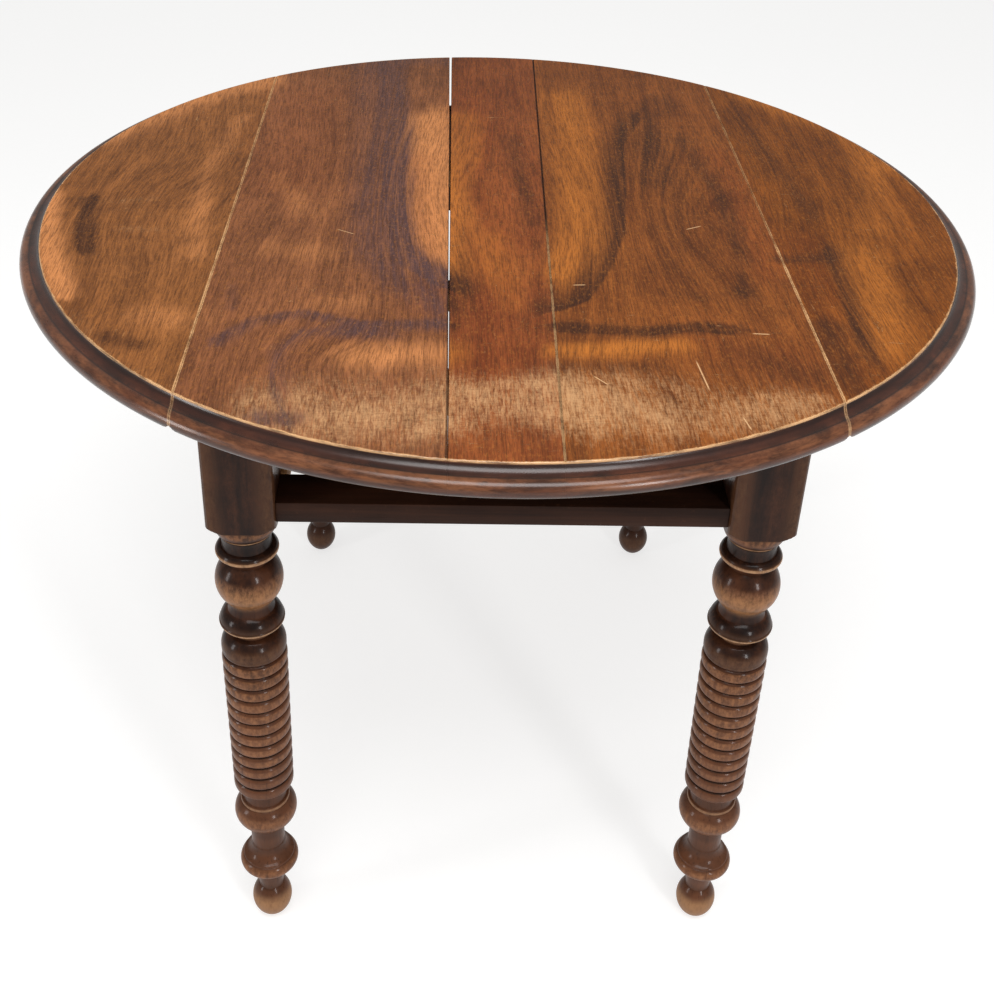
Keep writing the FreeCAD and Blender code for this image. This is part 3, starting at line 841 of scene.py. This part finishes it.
def sort_faces(mesh):
    """Gives each face of a board its finish: 0 for the top and seams, 1 for the rim, 2 for below."""
    count = len(mesh.polygons)
    middles, facing = np.empty(count * 3), np.empty(count * 3)
    mesh.polygons.foreach_get("center", middles)
    mesh.polygons.foreach_get("normal", facing)
    middles, facing = middles.reshape(-1, 3) / MM, facing.reshape(-1, 3)
    below = (facing[:, 2] < below_tilt) & (middles[:, 2] < underside + below_reach)
    out = np.hypot(middles[:, 0], middles[:, 1])
    outward = (middles[:, :2] * facing[:, :2]).sum(1) / np.maximum(out, 1) > rim_lean
    rim = (out > arris_radius - rim_inset) & (outward | (facing[:, 2] > rim_tilt)) & ~below
    finish = np.where(below, 2, np.where(rim, 1, 0))
    mesh.polygons.foreach_set("material_index", finish.astype(np.int32))


board_lean = (middle_back - middle_front) / (2 * rim_radius)
middle_seam = (middle_front + middle_back) / 2 * MM
# Each seam: its place, its lean, its wear at the front and at the back, how far the wear reaches,
# and the dirt in it.
left_seam = (-seam_x * MM, 0.0, 0.90, 0.70, 0.0017, 0.0)
right_seam = (seam_x * MM, 0.0, 0.90, 0.40, 0.0017, 0.0)
crack_seam = ((middle_left - 1.0) * MM, 0.0, 0.0, 0.0, 0.0010, 0.7)
board_seam = (middle_seam, board_lean, 0.55, 0.0, 0.0013, 0.85)
# Each mark: its start and end on the top, half its width and its tone.
bare_wood, deep_hole = tone(216, 174, 128), tone(26, 16, 12)
left_marks = (
    ((-259.0, 154.6), (-259.0, 157.4), 1.6, deep_hole), ((-171, -70), (-150, -82), 0.6, bare_wood),
)
right_marks = (
    ((195, -56), (214, -46), 0.9, bare_wood), ((66, -184), (80, -183), 1.0, bare_wood),
    ((72, -349), (85, -365), 0.8, bare_wood), ((166, -319), (171, -374), 0.9, bare_wood),
    ((225, -272), (243, -273), 1.1, bare_wood), ((192, -410), (196, -431), 0.8, bare_wood),
)
pink_gold, deep_gold = tone(216, 142, 86), tone(194, 116, 46)
plum, umber = tone(86, 61, 60), tone(62, 35, 22)
left_seams, right_seams = (left_seam, crack_seam), (right_seam, board_seam)
middle_seams = (crack_seam, board_seam)
# Each piece: its low and high ground tone, its dark and golden tone, its seams and its marks.
board_tones = {
    "top_board_left": (tone(92, 54, 34), tone(154, 96, 60), plum, pink_gold, left_seams, left_marks),
    "top_board_middle": (tone(94, 44, 21), tone(151, 82, 41), umber, deep_gold, middle_seams, ()),
    "top_board_right": (tone(90, 46, 20), tone(150, 85, 36), umber, deep_gold, right_seams, right_marks),
    "leaf_left": (tone(98, 58, 30), tone(162, 102, 54), umber, pink_gold, (left_seam,), ()),
    "leaf_right": (tone(78, 38, 12), tone(146, 81, 26), umber, deep_gold, (right_seam,), ()),
}
for node, recipe in board_tones.items():
    mesh = top_pieces[node].data
    mesh.materials.clear()
    for finish in (top_finish("walnut_" + node, *recipe), rim_walnut, raw_walnut):
        mesh.materials.append(finish)
    sort_faces(mesh)
print("top finishes:", len(board_tones))

# %% [markdown]
# Each leg is one stick of walnut: a square block where the rails join it, then a turned shaft.
# A lathe profile is a list of members, each with the height where it ends, its radius there and
# how far it swells between. Turning the list about the axis gives the shaft, and the block is the
# same idea with square rings whose corners the lathe has just touched.

# %% Lathe profile of a leg
leg_x, leg_y, half_block, turned_length = 242.0, 324.5, 32.5, 565.0
block_chamfer, pommel_radius, pommel_rise = 4.0, 36.4, 9.0
shaft_start, foot_flat, foot_swell = 31.2, 9.1, 10.5
rib_count, rib_groove, rib_swell, rib_taper = 12, 28.9, 3.8, 0.0034
arc_steps, steps_per_swell, line_steps = 10, 3, 2
# Each row: the height where a member ends, its radius there, and its swell (inwards if negative).
upper_members = (
    (548.5, 26.2, 1.6), (547.0, 25.0, 0), (533.0, 24.2, -0.8), (529.0, 29.4, 0.8), (524.8, 30.0, 0.7),
    (523.0, 26.0, 0), (515.0, 22.1, -0.5), (466.0, 22.4, 10.8), (454.0, 23.2, -1.0), (441.8, 31.4, 1.6),
    (437.6, 31.4, 0.9), (434.5, 22.0, -0.5), (425.0, 20.8, -0.6), (423.6, 24.6, 0), (405.0, 32.2, 2.6),
    (398.2, rib_groove, 1.2),
)
drum_end, drum_end_radius = 208.2, 27.9
lower_members = (
    (206.5, 23.4, 0), (190.5, 23.4, -0.4), (189.5, 25.4, 0), (186.0, 25.8, 0.4), (185.4, 25.0, 0),
    (151.0, 18.8, 11.2), (119.0, 18.0, -0.3), (100.6, 27.2, -3.6), (98.9, 27.8, 0.2), (98.3, 27.0, 0),
    (81.5, 19.6, 8.3), (80.5, 17.4, 0), (46.0, 13.4, -0.4),
)


def member(start, end, swell, steps):
    """Points along one member of the profile, after its start: an arc that swells from its chord."""
    start, end = np.array(start), np.array(end)
    run = end - start
    length = np.hypot(*run)
    out = np.array([-run[1], run[0]]) / length
    if not swell:
        return [tuple(start + run * k / steps) for k in range(1, steps + 1)]
    radius = (length ** 2 / 4 + swell ** 2) / (2 * swell)
    middle = (start + end) / 2 + out * (swell - radius)
    half = math.asin(length / 2 / abs(radius))
    points = []
    for k in range(1, steps + 1):
        angle = half * (2 * k / steps - 1)
        ahead = run / length * abs(radius) * math.sin(angle)
        points.append(tuple(middle + ahead + out * radius * math.cos(angle)))
    return points


def shaft_profile():
    """Radius and height down the shaft, from the block to the floor."""
    rows = [(shaft_start, turned_length)]

    def add(height, radius, swell):
        steps = round(arc_steps + steps_per_swell * abs(swell)) if swell else line_steps
        rows.extend(member(rows[-1], (radius, height), swell, steps))

    for row in upper_members:
        add(*row)
    add(drum_end, drum_end_radius, 0)
    for row in lower_members:
        add(*row)
    add(0.0, foot_flat, foot_swell)
    return rows


shaft = shaft_profile()
drum_top = upper_members[-1][0]
rib_pitch = (drum_top - drum_end) / rib_count
print("shaft:", len(shaft), "points, ribs every", round(rib_pitch, 1), "mm")

# %% Turned legs
leg_sides, leg_crease, pommel_steps, pommel_round = 96, 24, 8, 0.35
leg_turns = [2 * math.pi * (k + 0.5) / leg_sides for k in range(leg_sides)]
block_levels = (underside, underside - 40, turned_length + 60, turned_length + 20)


def block_radius(angle):
    """How far the square block reaches in one direction, with its corners taken off."""
    c, s = abs(math.cos(angle)), abs(math.sin(angle))
    return min(half_block / max(c, s), (2 * half_block - block_chamfer) / (c + s))


def leg_mesh(name, side, end):
    """A leg in place, from its top down to the foot."""
    rings = [[(block_radius(a), z) for a in leg_turns] for z in block_levels]
    for k in range(pommel_steps + 1):
        rise = pommel_rise * (1 - k / pommel_steps)
        limit = pommel_radius + rise * (1 + pommel_round * (1 - rise / pommel_rise))
        rings.append([(min(block_radius(a), limit), turned_length + rise) for a in leg_turns])
    rings += [[(r, z)] * leg_sides for r, z in shaft]
    points = []
    for ring in rings:
        for angle, (r, z) in zip(leg_turns, ring):
            points.append((side * leg_x + r * math.cos(angle), end * leg_y + r * math.sin(angle), z))
    return solid_mesh(name, points, loft(rings))


leg_pieces = {}
for end_name, end in ENDS.items():
    for side_name, side in SIDES.items():
        node = f"leg_{end_name}_{side_name}"
        piece = link_piece("turned_" + node, leg_mesh("turned_" + node, side, end))
        smooth_by_angle(piece.data, leg_crease)
        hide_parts(node)
        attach(piece, "frame")
        leg_pieces[node] = piece
print("legs:", {n: len(p.data.polygons) for n, p in leg_pieces.items()})

# %% [markdown]
# Twelve ribs of one shape circle each shaft. They repeat, so Geometry Nodes make them: one is an
# open tube whose radius swells in the middle, a line of points stacks the ribs, each a little
# smaller than the one above, and a two by two grid puts the stack on all four legs. The result
# is realized and turned into a plain mesh.

# %% Words for geometry
class Nodes:
    """A geometry node tree with named inputs."""

    def __init__(self, name, inputs):
        self.tree = bpy.data.node_groups.new(name, "GeometryNodeTree")
        face = self.tree.interface
        face.new_socket("Geometry", in_out="INPUT", socket_type="NodeSocketGeometry")
        face.new_socket("Geometry", in_out="OUTPUT", socket_type="NodeSocketGeometry")
        self.ids = {}
        for word, kind in inputs.items():
            socket = face.new_socket(word, in_out="INPUT", socket_type="NodeSocket" + kind)
            self.ids[word] = socket.identifier
        self.start = self.tree.nodes.new("NodeGroupInput")
        self.end = self.tree.nodes.new("NodeGroupOutput")

    def given(self, word):
        return self.start.outputs[word]

    def add(self, kind, settings=None, **links):
        """Adds a node; links are socket names with underscores for spaces, or n and a socket's number."""
        node = self.tree.nodes.new(kind)
        for word, value in (settings or {}).items():
            setattr(node, word, value)
        for word, value in links.items():
            key = int(word[1:]) if word[0] == "n" and word[1:].isdigit() else word.replace("_", " ")
            if isinstance(value, bpy.types.NodeSocket):
                self.tree.links.new(value, node.inputs[key])
            else:
                node.inputs[key].default_value = value
        return node

    def maths(self, kind, first, second=0.0):
        return self.add("ShaderNodeMath", {"operation": kind}, n0=first, n1=second).outputs[0]

    def close(self, geometry):
        """Realizes the instances, sets the material and ends the tree."""
        real = self.add("GeometryNodeRealizeInstances", Geometry=geometry)
        finish = self.given("Material")
        dressed = self.add("GeometryNodeSetMaterial", Geometry=real.outputs[0], Material=finish)
        self.tree.links.new(dressed.outputs[0], self.end.inputs[0])

    def grow(self, name, mesh, values):
        """A plain piece made by the tree from a starting mesh."""
        piece = link_piece(name, mesh)
        work = piece.modifiers.new("grow", "NODES")
        work.node_group = self.tree
        for word, value in values.items():
            work[self.ids[word]] = value
        settle(piece)
        return piece

    def vector(self, x=0.0, y=0.0, z=0.0):
        return self.add("ShaderNodeCombineXYZ", n0=x, n1=y, n2=z).outputs[0]


print("geometry words ready")

# %% Ribs by Geometry Nodes
rib_rows, rib_squareness = 12, 3.6
rib_sizes = ("Rib Pitch", "Groove Radius", "Rib Swell", "Taper", "Drum Top", "Legs X", "Legs Y")
rib_inputs = {"Rib Count": "Int", **{word: "Float" for word in rib_sizes}, "Material": "Material"}
ribs = Nodes("ribbed_drums", rib_inputs)
tube = ribs.add("GeometryNodeMeshCylinder", {"fill_type": "NONE"}, Vertices=leg_sides,
                Side_Segments=rib_rows, Radius=1.0, Depth=ribs.given("Rib Pitch"))
spot = ribs.add("ShaderNodeSeparateXYZ", n0=ribs.add("GeometryNodeInputPosition").outputs[0])
half_pitch = ribs.maths("MULTIPLY", ribs.given("Rib Pitch"), 0.5)
height = ribs.maths("DIVIDE", spot.outputs[2], half_pitch)
bulge = ribs.maths("SUBTRACT", 1.0, ribs.maths("POWER", ribs.maths("ABSOLUTE", height), rib_squareness))
swell = ribs.maths("MULTIPLY", ribs.given("Rib Swell"), bulge)
rib_radius = ribs.maths("ADD", ribs.given("Groove Radius"), swell)
swollen_x, swollen_y = (ribs.maths("MULTIPLY", spot.outputs[axis], rib_radius) for axis in (0, 1))
rib = ribs.add("GeometryNodeSetPosition", Geometry=tube.outputs[0],
               Position=ribs.vector(swollen_x, swollen_y, spot.outputs[2]))
down = ribs.maths("MULTIPLY", ribs.given("Rib Pitch"), -1.0)
first_rib = ribs.maths("SUBTRACT", ribs.given("Drum Top"), half_pitch)
stack = ribs.add("GeometryNodeMeshLine", Count=ribs.given("Rib Count"),
                 Start_Location=ribs.vector(z=first_rib), Offset=ribs.vector(z=down))
place_in_stack = ribs.add("GeometryNodeInputIndex").outputs[0]
slim = ribs.maths("SUBTRACT", 1.0, ribs.maths("MULTIPLY", place_in_stack, ribs.given("Taper")))
drum = ribs.add("GeometryNodeInstanceOnPoints", Points=stack.outputs[0], Instance=rib.outputs[0],
                Scale=ribs.vector(slim, slim, 1.0))
corners = ribs.add("GeometryNodeMeshGrid", Size_X=ribs.given("Legs X"), Size_Y=ribs.given("Legs Y"),
                   Vertices_X=2, Vertices_Y=2)
four = ribs.add("GeometryNodeInstanceOnPoints", Points=corners.outputs[0],
                Instance=ribs.add("GeometryNodeRealizeInstances", Geometry=drum.outputs[0]).outputs[0])
ribs.close(four.outputs[0])
print("rib tree:", len(ribs.tree.nodes), "nodes")

# %% [markdown]
# The legs are darker than the top, partly as painted shade for the top's shadow. Polish stays black
# in the grooves and wears off the crests, so each vertex keeps how far it stands out of its own
# member. The grain runs up and down. The feet have lost their polish to the floor.

# %% Finish of the legs
# Each band: the middle of its height, half its height, its soft edge, its strength and its tone.
painted_shade_black, bare_edge, rubbed_and_lit_wood = tone(16, 10, 9), tone(172, 134, 100), tone(158, 112, 74)
leg_bands = (
    # The black bands are painted shade: the block, the neck above the disc, the flare above the ring and
    # the head of the drum, all in the top's shadow.
    (620.0, 54.0, 4.0, 0.60, painted_shade_black), (538.0, 8.5, 2.0, 0.75, painted_shade_black),
    (446.0, 6.0, 2.0, 0.75, painted_shade_black), (412.0, 9.0, 4.0, 0.55, painted_shade_black),
    # The band at 480 mm is painted light on the lower half of the ball; the band at 430 mm is rubbed wood.
    (480.0, 8.0, 12.0, 0.60, rubbed_and_lit_wood), (430.0, 3.0, 2.0, 0.35, rubbed_and_lit_wood),
    (549.2, 0.9, 0.8, 0.75, bare_edge), (526.6, 1.0, 0.9, 0.75, bare_edge),
    (438.8, 0.9, 0.8, 0.75, bare_edge), (187.6, 1.2, 1.0, 0.40, bare_edge),
)


def leg_finish():
    """Dark polished walnut with painted shade and light, worn crests and a bare foot."""
    wood = Finish("walnut_legs", Coat_Weight=0.18, Coat_Roughness=0.14, Specular_IOR_Level=0.05)
    _, y, z = wood.axes()
    crest = wood.stored("crest")
    streak = wood.noise(60, (1, 1, 0.09), detail=6, rough=0.6, warp=0.3)
    fine = wood.noise(420, (1, 1, 0.06), detail=4, rough=0.6)
    cloud = wood.noise(20, detail=4)
    chips = wood.noise(210, (1, 1, 0.5), detail=5, rough=0.75)
    body = wood.weigh(streak, 0.6, cloud, 0.4)
    # The dark ground is partly painted shade, for the shadow that the top casts on the legs.
    colour = wood.blend(wood.step(body, 0.34, 0.68), tone(34, 19, 14), tone(80, 47, 30))
    # Painted light: the lower part of each leg is made lighter, as if lit below the shadow of the top.
    lower = wood.step(z, 0.430, 0.300, 0.0, 0.40)
    colour = wood.blend(lower, colour, tone(112, 72, 50))
    colour = wood.blend(wood.step(fine, 0.54, 0.72, 0.0, 0.5), colour, tone(28, 17, 14))
    groove = wood.step(crest, 0.50, 0.08, 0.0, 0.95)
    colour = wood.blend(groove, colour, tone(13, 8, 7))
    rub = wood.times(wood.step(crest, 0.80, 1.0), wood.step(chips, 0.36, 0.68, 0.10, 0.60))
    colour = wood.blend(rub, colour, tone(150, 102, 68))
    for middle, half, soft, amount, shade in leg_bands:
        low_side = wood.step(z, (middle - half - soft) * MM, (middle - half) * MM)
        high_side = wood.step(z, (middle + half + soft) * MM, (middle + half) * MM)
        band = wood.times(wood.times(low_side, high_side), wood.step(chips, 0.30, 0.62, 0.45, 1.0))
        colour = wood.blend(wood.times(band, amount), colour, shade)
    foot = wood.step(wood.sum(z, wood.times(cloud, 0.012)), 0.048, 0.036)
    # Painted shade: the back feet stand in the table's shadow, so they get less of the pale bare wood.
    foot = wood.times(foot, wood.step(y, 0.1, -0.1, 0.25, 1.0))
    bare_foot = wood.times(foot, wood.step(chips, 0.25, 0.6, 0.55, 0.95))
    colour = wood.blend(bare_foot, colour, tone(142, 104, 72))
    # Painted shade: the back feet are darkened near the floor.
    shaded = wood.times(wood.step(y, -0.1, 0.1), wood.step(z, 0.085, 0.060, 0.0, 0.7))
    colour = wood.blend(shaded, colour, tone(36, 22, 17))
    gloss = wood.sum(wood.step(chips, 0.3, 0.7, 0.27, 0.44), wood.times(foot, 0.2))
    relief = wood.weigh(fine, -0.6, chips, 0.25)
    return wood.dress(colour, gloss, relief, 0.0003)


leg_walnut = leg_finish()
print("finish:", leg_walnut.name)

# %% Crests and the finished legs
crest_span, neck_crest, level_step, least_relief, rib_crease = 18.0, 0.35, 2, 2, 30
# The radius that counts as a groove and the one that counts as a crest.
rib_limits = (rib_groove - 0.2, rib_groove + rib_swell - 0.8)
block_limits = (half_block - 20, half_block * 1.414 - 3.2)


def mark_crests(mesh):
    """Stores how far each vertex stands out among the heights just above and below it."""
    points = np.empty(len(mesh.vertices) * 3)
    mesh.vertices.foreach_get("co", points)
    points = points.reshape(-1, 3) / MM
    radii, heights = np.array(shaft).T
    radius = np.hypot(np.abs(points[:, 0]) - leg_x, np.abs(points[:, 1]) - leg_y)
    levels = np.round(points[:, 2] / level_step).astype(int)
    limits = {}
    for level in np.unique(levels):
        z = level * level_step
        near = radii[np.abs(heights - z) < crest_span]
        if drum_end < z < drum_top:
            limits[level] = rib_limits
        elif z < turned_length and len(near):
            limits[level] = (near.min(), max(near.max(), near.min() + least_relief))
        else:
            limits[level] = block_limits
    low = np.array([limits[v][0] for v in levels])
    high = np.array([limits[v][1] for v in levels])
    crest = np.clip((radius - low) / (high - low), 0, 1)
    ribbed = (points[:, 2] > drum_end) & (points[:, 2] < drum_top)
    crest = np.where(ribbed, crest, neck_crest + (1 - neck_crest) * crest)
    mesh.attributes.new("crest", "FLOAT", "POINT").data.foreach_set("value", crest)


rib_values = {"Rib Count": rib_count, "Rib Pitch": rib_pitch * MM, "Groove Radius": rib_groove * MM,
              "Rib Swell": rib_swell * MM, "Taper": rib_taper, "Drum Top": drum_top * MM,
              "Legs X": 2 * leg_x * MM, "Legs Y": 2 * leg_y * MM, "Material": leg_walnut}
leg_ribs = ribs.grow("leg_ribs", bpy.data.meshes.new("leg_ribs"), rib_values)
smooth_by_angle(leg_ribs.data, rib_crease)
mark_crests(leg_ribs.data)
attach(leg_ribs, "frame")
for piece in leg_pieces.values():
    piece.data.materials.append(leg_walnut)
    mark_crests(piece.data)
print("ribs:", len(leg_ribs.data.polygons), "faces")

# %% [markdown]
# The aprons, rails, runners and sliding bearers already have the right shape in the packed
# model, but their edges are as sharp as a knife. A copy of each is merged, its flat faces are
# joined, and a Bevel modifier eases the edges by less than a millimetre.

# %% Finishes of the frame
def plank_finish(name, stretch, low, high, worn, dull):
    """Straight-grained wood; stretch is long across the grain and short along it."""
    wood = Finish(name, Specular_IOR_Level=0.08)
    streak = wood.noise(60, stretch, detail=6, rough=0.6, warp=0.25)
    fine = wood.noise(380, stretch, detail=4, rough=0.6)
    cloud = wood.noise(9, detail=4)
    chips = wood.noise(140, detail=4, rough=0.7)
    body = wood.weigh(streak, 0.65, cloud, 0.35)
    colour = wood.blend(wood.step(body, 0.32, 0.70), low, high)
    colour = wood.blend(wood.step(fine, 0.54, 0.72, 0.0, 0.45), colour, tone(40, 25, 18))
    colour = wood.blend(wood.step(chips, 0.60, 0.76, 0.0, 0.35), colour, worn)
    gloss = wood.step(chips, 0.3, 0.7, dull, dull + 0.14)
    relief = wood.weigh(fine, -0.6, chips, 0.3)
    return wood.dress(colour, gloss, relief, 0.0003)


along_x, along_y = (0.06, 1, 1), (1, 0.06, 1)
walnut = (tone(32, 19, 14), tone(60, 36, 25), tone(90, 58, 38), 0.34)
plain = (tone(104, 76, 50), tone(150, 114, 78), tone(164, 128, 92), 0.58)
rail_walnut = plank_finish("walnut_rails", along_x, *walnut)
apron_walnut = plank_finish("walnut_aprons", along_y, *walnut)
runner_wood = plank_finish("plain_wood_long", along_y, *plain)
loper_wood = plank_finish("plain_wood_across", along_x, *plain)
print("finishes:", [wood.name for wood in (rail_walnut, apron_walnut, runner_wood, loper_wood)])

# %% Eased pieces of the frame
cad_merge, flat_angle, bevel_rows, plank_crease = 1e-5, math.radians(1), 2, 30
frame_ease, inner_ease, peg_ease = 0.8, 0.6, 0.5


def eased(node, body, finish, ease):
    """A piece that stands for a CAD node, with its edges eased."""
    work = bmesh.new()
    work.from_mesh(frame["nodes"][node].data)
    bmesh.ops.remove_doubles(work, verts=work.verts, dist=cad_merge)
    bmesh.ops.dissolve_limit(work, angle_limit=flat_angle, verts=work.verts, edges=work.edges)
    mesh = bpy.data.meshes.new("eased_" + node)
    work.to_mesh(mesh)
    work.free()
    piece = link_piece("eased_" + node, mesh)
    bevel = piece.modifiers.new("ease", "BEVEL")
    bevel.width = ease * MM
    bevel.segments = bevel_rows
    bevel.limit_method = "ANGLE"
    settle(piece)
    piece.data.materials.clear()
    piece.data.materials.append(finish)
    smooth_by_angle(piece.data, plank_crease)
    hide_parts(node)
    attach(piece, body)
    return piece


eased_pieces = []
for node in ("apron_left", "apron_right"):
    eased_pieces.append(eased(node, "frame", apron_walnut, frame_ease))
for node in ("apron_back", "drawer_rail_lower", "drawer_rail_upper"):
    eased_pieces.append(eased(node, "frame", rail_walnut, frame_ease))
inner_nodes = [kind + name for kind in ("drawer_runner_", "loper_guide_") for name in SIDES]
for node in inner_nodes + ["centre_bearer"]:
    eased_pieces.append(eased(node, "frame", runner_wood, inner_ease))
for end_name in ENDS:
    for side_name in SIDES:
        place = f"{end_name}_{side_name}"
        body = "loper_" + place
        eased_pieces.append(eased(body, body, loper_wood, inner_ease))
        eased_pieces.append(eased("loper_stop_" + place, body, runner_wood, peg_ease))
print("eased pieces:", len(eased_pieces))

# %% [markdown]
# The hinges are plain cast iron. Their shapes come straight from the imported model, and only the
# metal is made here: dark scale with brown rust that gathers in patches.

# %% Hinge metal
def iron_finish():
    """Old cast iron with rust."""
    iron = Finish("hinge_iron")
    grit = iron.noise(900, detail=4, rough=0.7)
    patch = iron.noise(70, detail=5, rough=0.65)
    rust = iron.step(iron.weigh(patch, 0.8, grit, 0.2), 0.44, 0.62)
    colour = iron.blend(iron.step(grit, 0.3, 0.7), tone(58, 56, 55), tone(92, 90, 88))
    colour = iron.blend(rust, colour, iron.blend(grit, tone(84, 46, 26), tone(128, 76, 42)))
    iron.feed(iron.shader.inputs["Metallic"], iron.step(rust, 0.1, 0.7, 0.85, 0.1))
    return iron.dress(colour, iron.step(rust, 0.0, 1.0, 0.42, 0.82), grit, 0.0003)


hinge_iron = iron_finish()
for node, thing in frame["nodes"].items():
    if node.startswith("hinge_"):
        for place in thing.material_slots:
            place.material = hinge_iron
print("hinge parts dressed:", sum(n.startswith("hinge_") for n in frame["nodes"]))

# %% [markdown]
# Three slotted screws hold each plate. They are all alike, so Geometry Nodes set one head on a
# mesh of loose points. Each head is a shallow cone with a slot cut across it, turned by a random
# angle with a fixed seed. Screws of a leaf ride with the leaf, so there is one mesh per body.

# %% Hinge screws by Geometry Nodes
screw_inputs = {"Head Radius": "Float", "Head Height": "Float", "Slot Width": "Float", "Seed": "Int",
                "Material": "Material"}
screw_sides, head_top_share, slot_length, slot_lift = 20, 0.82, 3.0, 0.9
screws = Nodes("slotted_screws", screw_inputs)
head_radius, head_height = screws.given("Head Radius"), screws.given("Head Height")
head = screws.add("GeometryNodeMeshCone", Vertices=screw_sides, Radius_Bottom=head_radius,
                  Radius_Top=screws.maths("MULTIPLY", head_radius, head_top_share), Depth=head_height)
slot_reach = screws.maths("MULTIPLY", head_radius, slot_length)
slot = screws.add("GeometryNodeMeshCube",
                  Size=screws.vector(slot_reach, screws.given("Slot Width"), head_height))
raised = screws.add("GeometryNodeSetPosition", Geometry=slot.outputs[0],
                    Offset=screws.vector(z=screws.maths("MULTIPLY", head_height, slot_lift)))
slotted = screws.add("GeometryNodeMeshBoolean", {"operation": "DIFFERENCE"}, Mesh_1=head.outputs[0],
                     Mesh_2=raised.outputs[0])
facing_down = screws.add("GeometryNodeTransform", Geometry=slotted.outputs[0], Rotation=(math.pi, 0, 0))
spin = screws.add("FunctionNodeRandomValue", {"data_type": "FLOAT"}, n2=0.0, n3=math.pi,
                  Seed=screws.given("Seed"))
heads = screws.add("GeometryNodeInstanceOnPoints", Points=screws.start.outputs[0],
                   Instance=facing_down.outputs[0], Rotation=screws.vector(z=spin.outputs[1]))
screws.close(heads.outputs[0])
print("screw tree:", len(screws.tree.nodes), "nodes")

# %% Screws of each body
screw_values = {"Head Radius": 4.2 * MM, "Head Height": 1.2 * MM, "Slot Width": 1.0 * MM, "Seed": 7,
                "Material": hinge_iron}
screw_sink, screw_spread, fixed_inset, leaf_inset = 0.1, 26.0, 26.0, 40.0
# Each screw of a plate: which way it lies from the middle one, and how far it is moved towards the
# seam, which is twice as far on a leaf.
screw_rows = ((-1, 0.0), (0, 9.0), (1, 0.0))


def screw_piece(name, body, places):
    """One mesh of screw heads for one body."""
    mesh = bpy.data.meshes.new(name)
    mesh.from_pydata([(x * MM, y * MM, (underside + screw_sink) * MM) for x, y in places], [], [])
    piece = screws.grow(name, mesh, screw_values)
    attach(piece, body)


fixed_places = []
for side_name, side in SIDES.items():
    leaf_places = []
    for y in hinge_y:
        for spread, shift in screw_rows:
            fixed_places.append((side * (seam_x - fixed_inset + shift), y + spread * screw_spread))
            leaf_places.append((side * (seam_x + leaf_inset - shift * 2), y + spread * screw_spread))
    screw_piece("screws_leaf_" + side_name, "leaf_" + side_name, leaf_places)
screw_piece("screws_frame", "frame", fixed_places)
print("screws:", len(fixed_places) * 2)
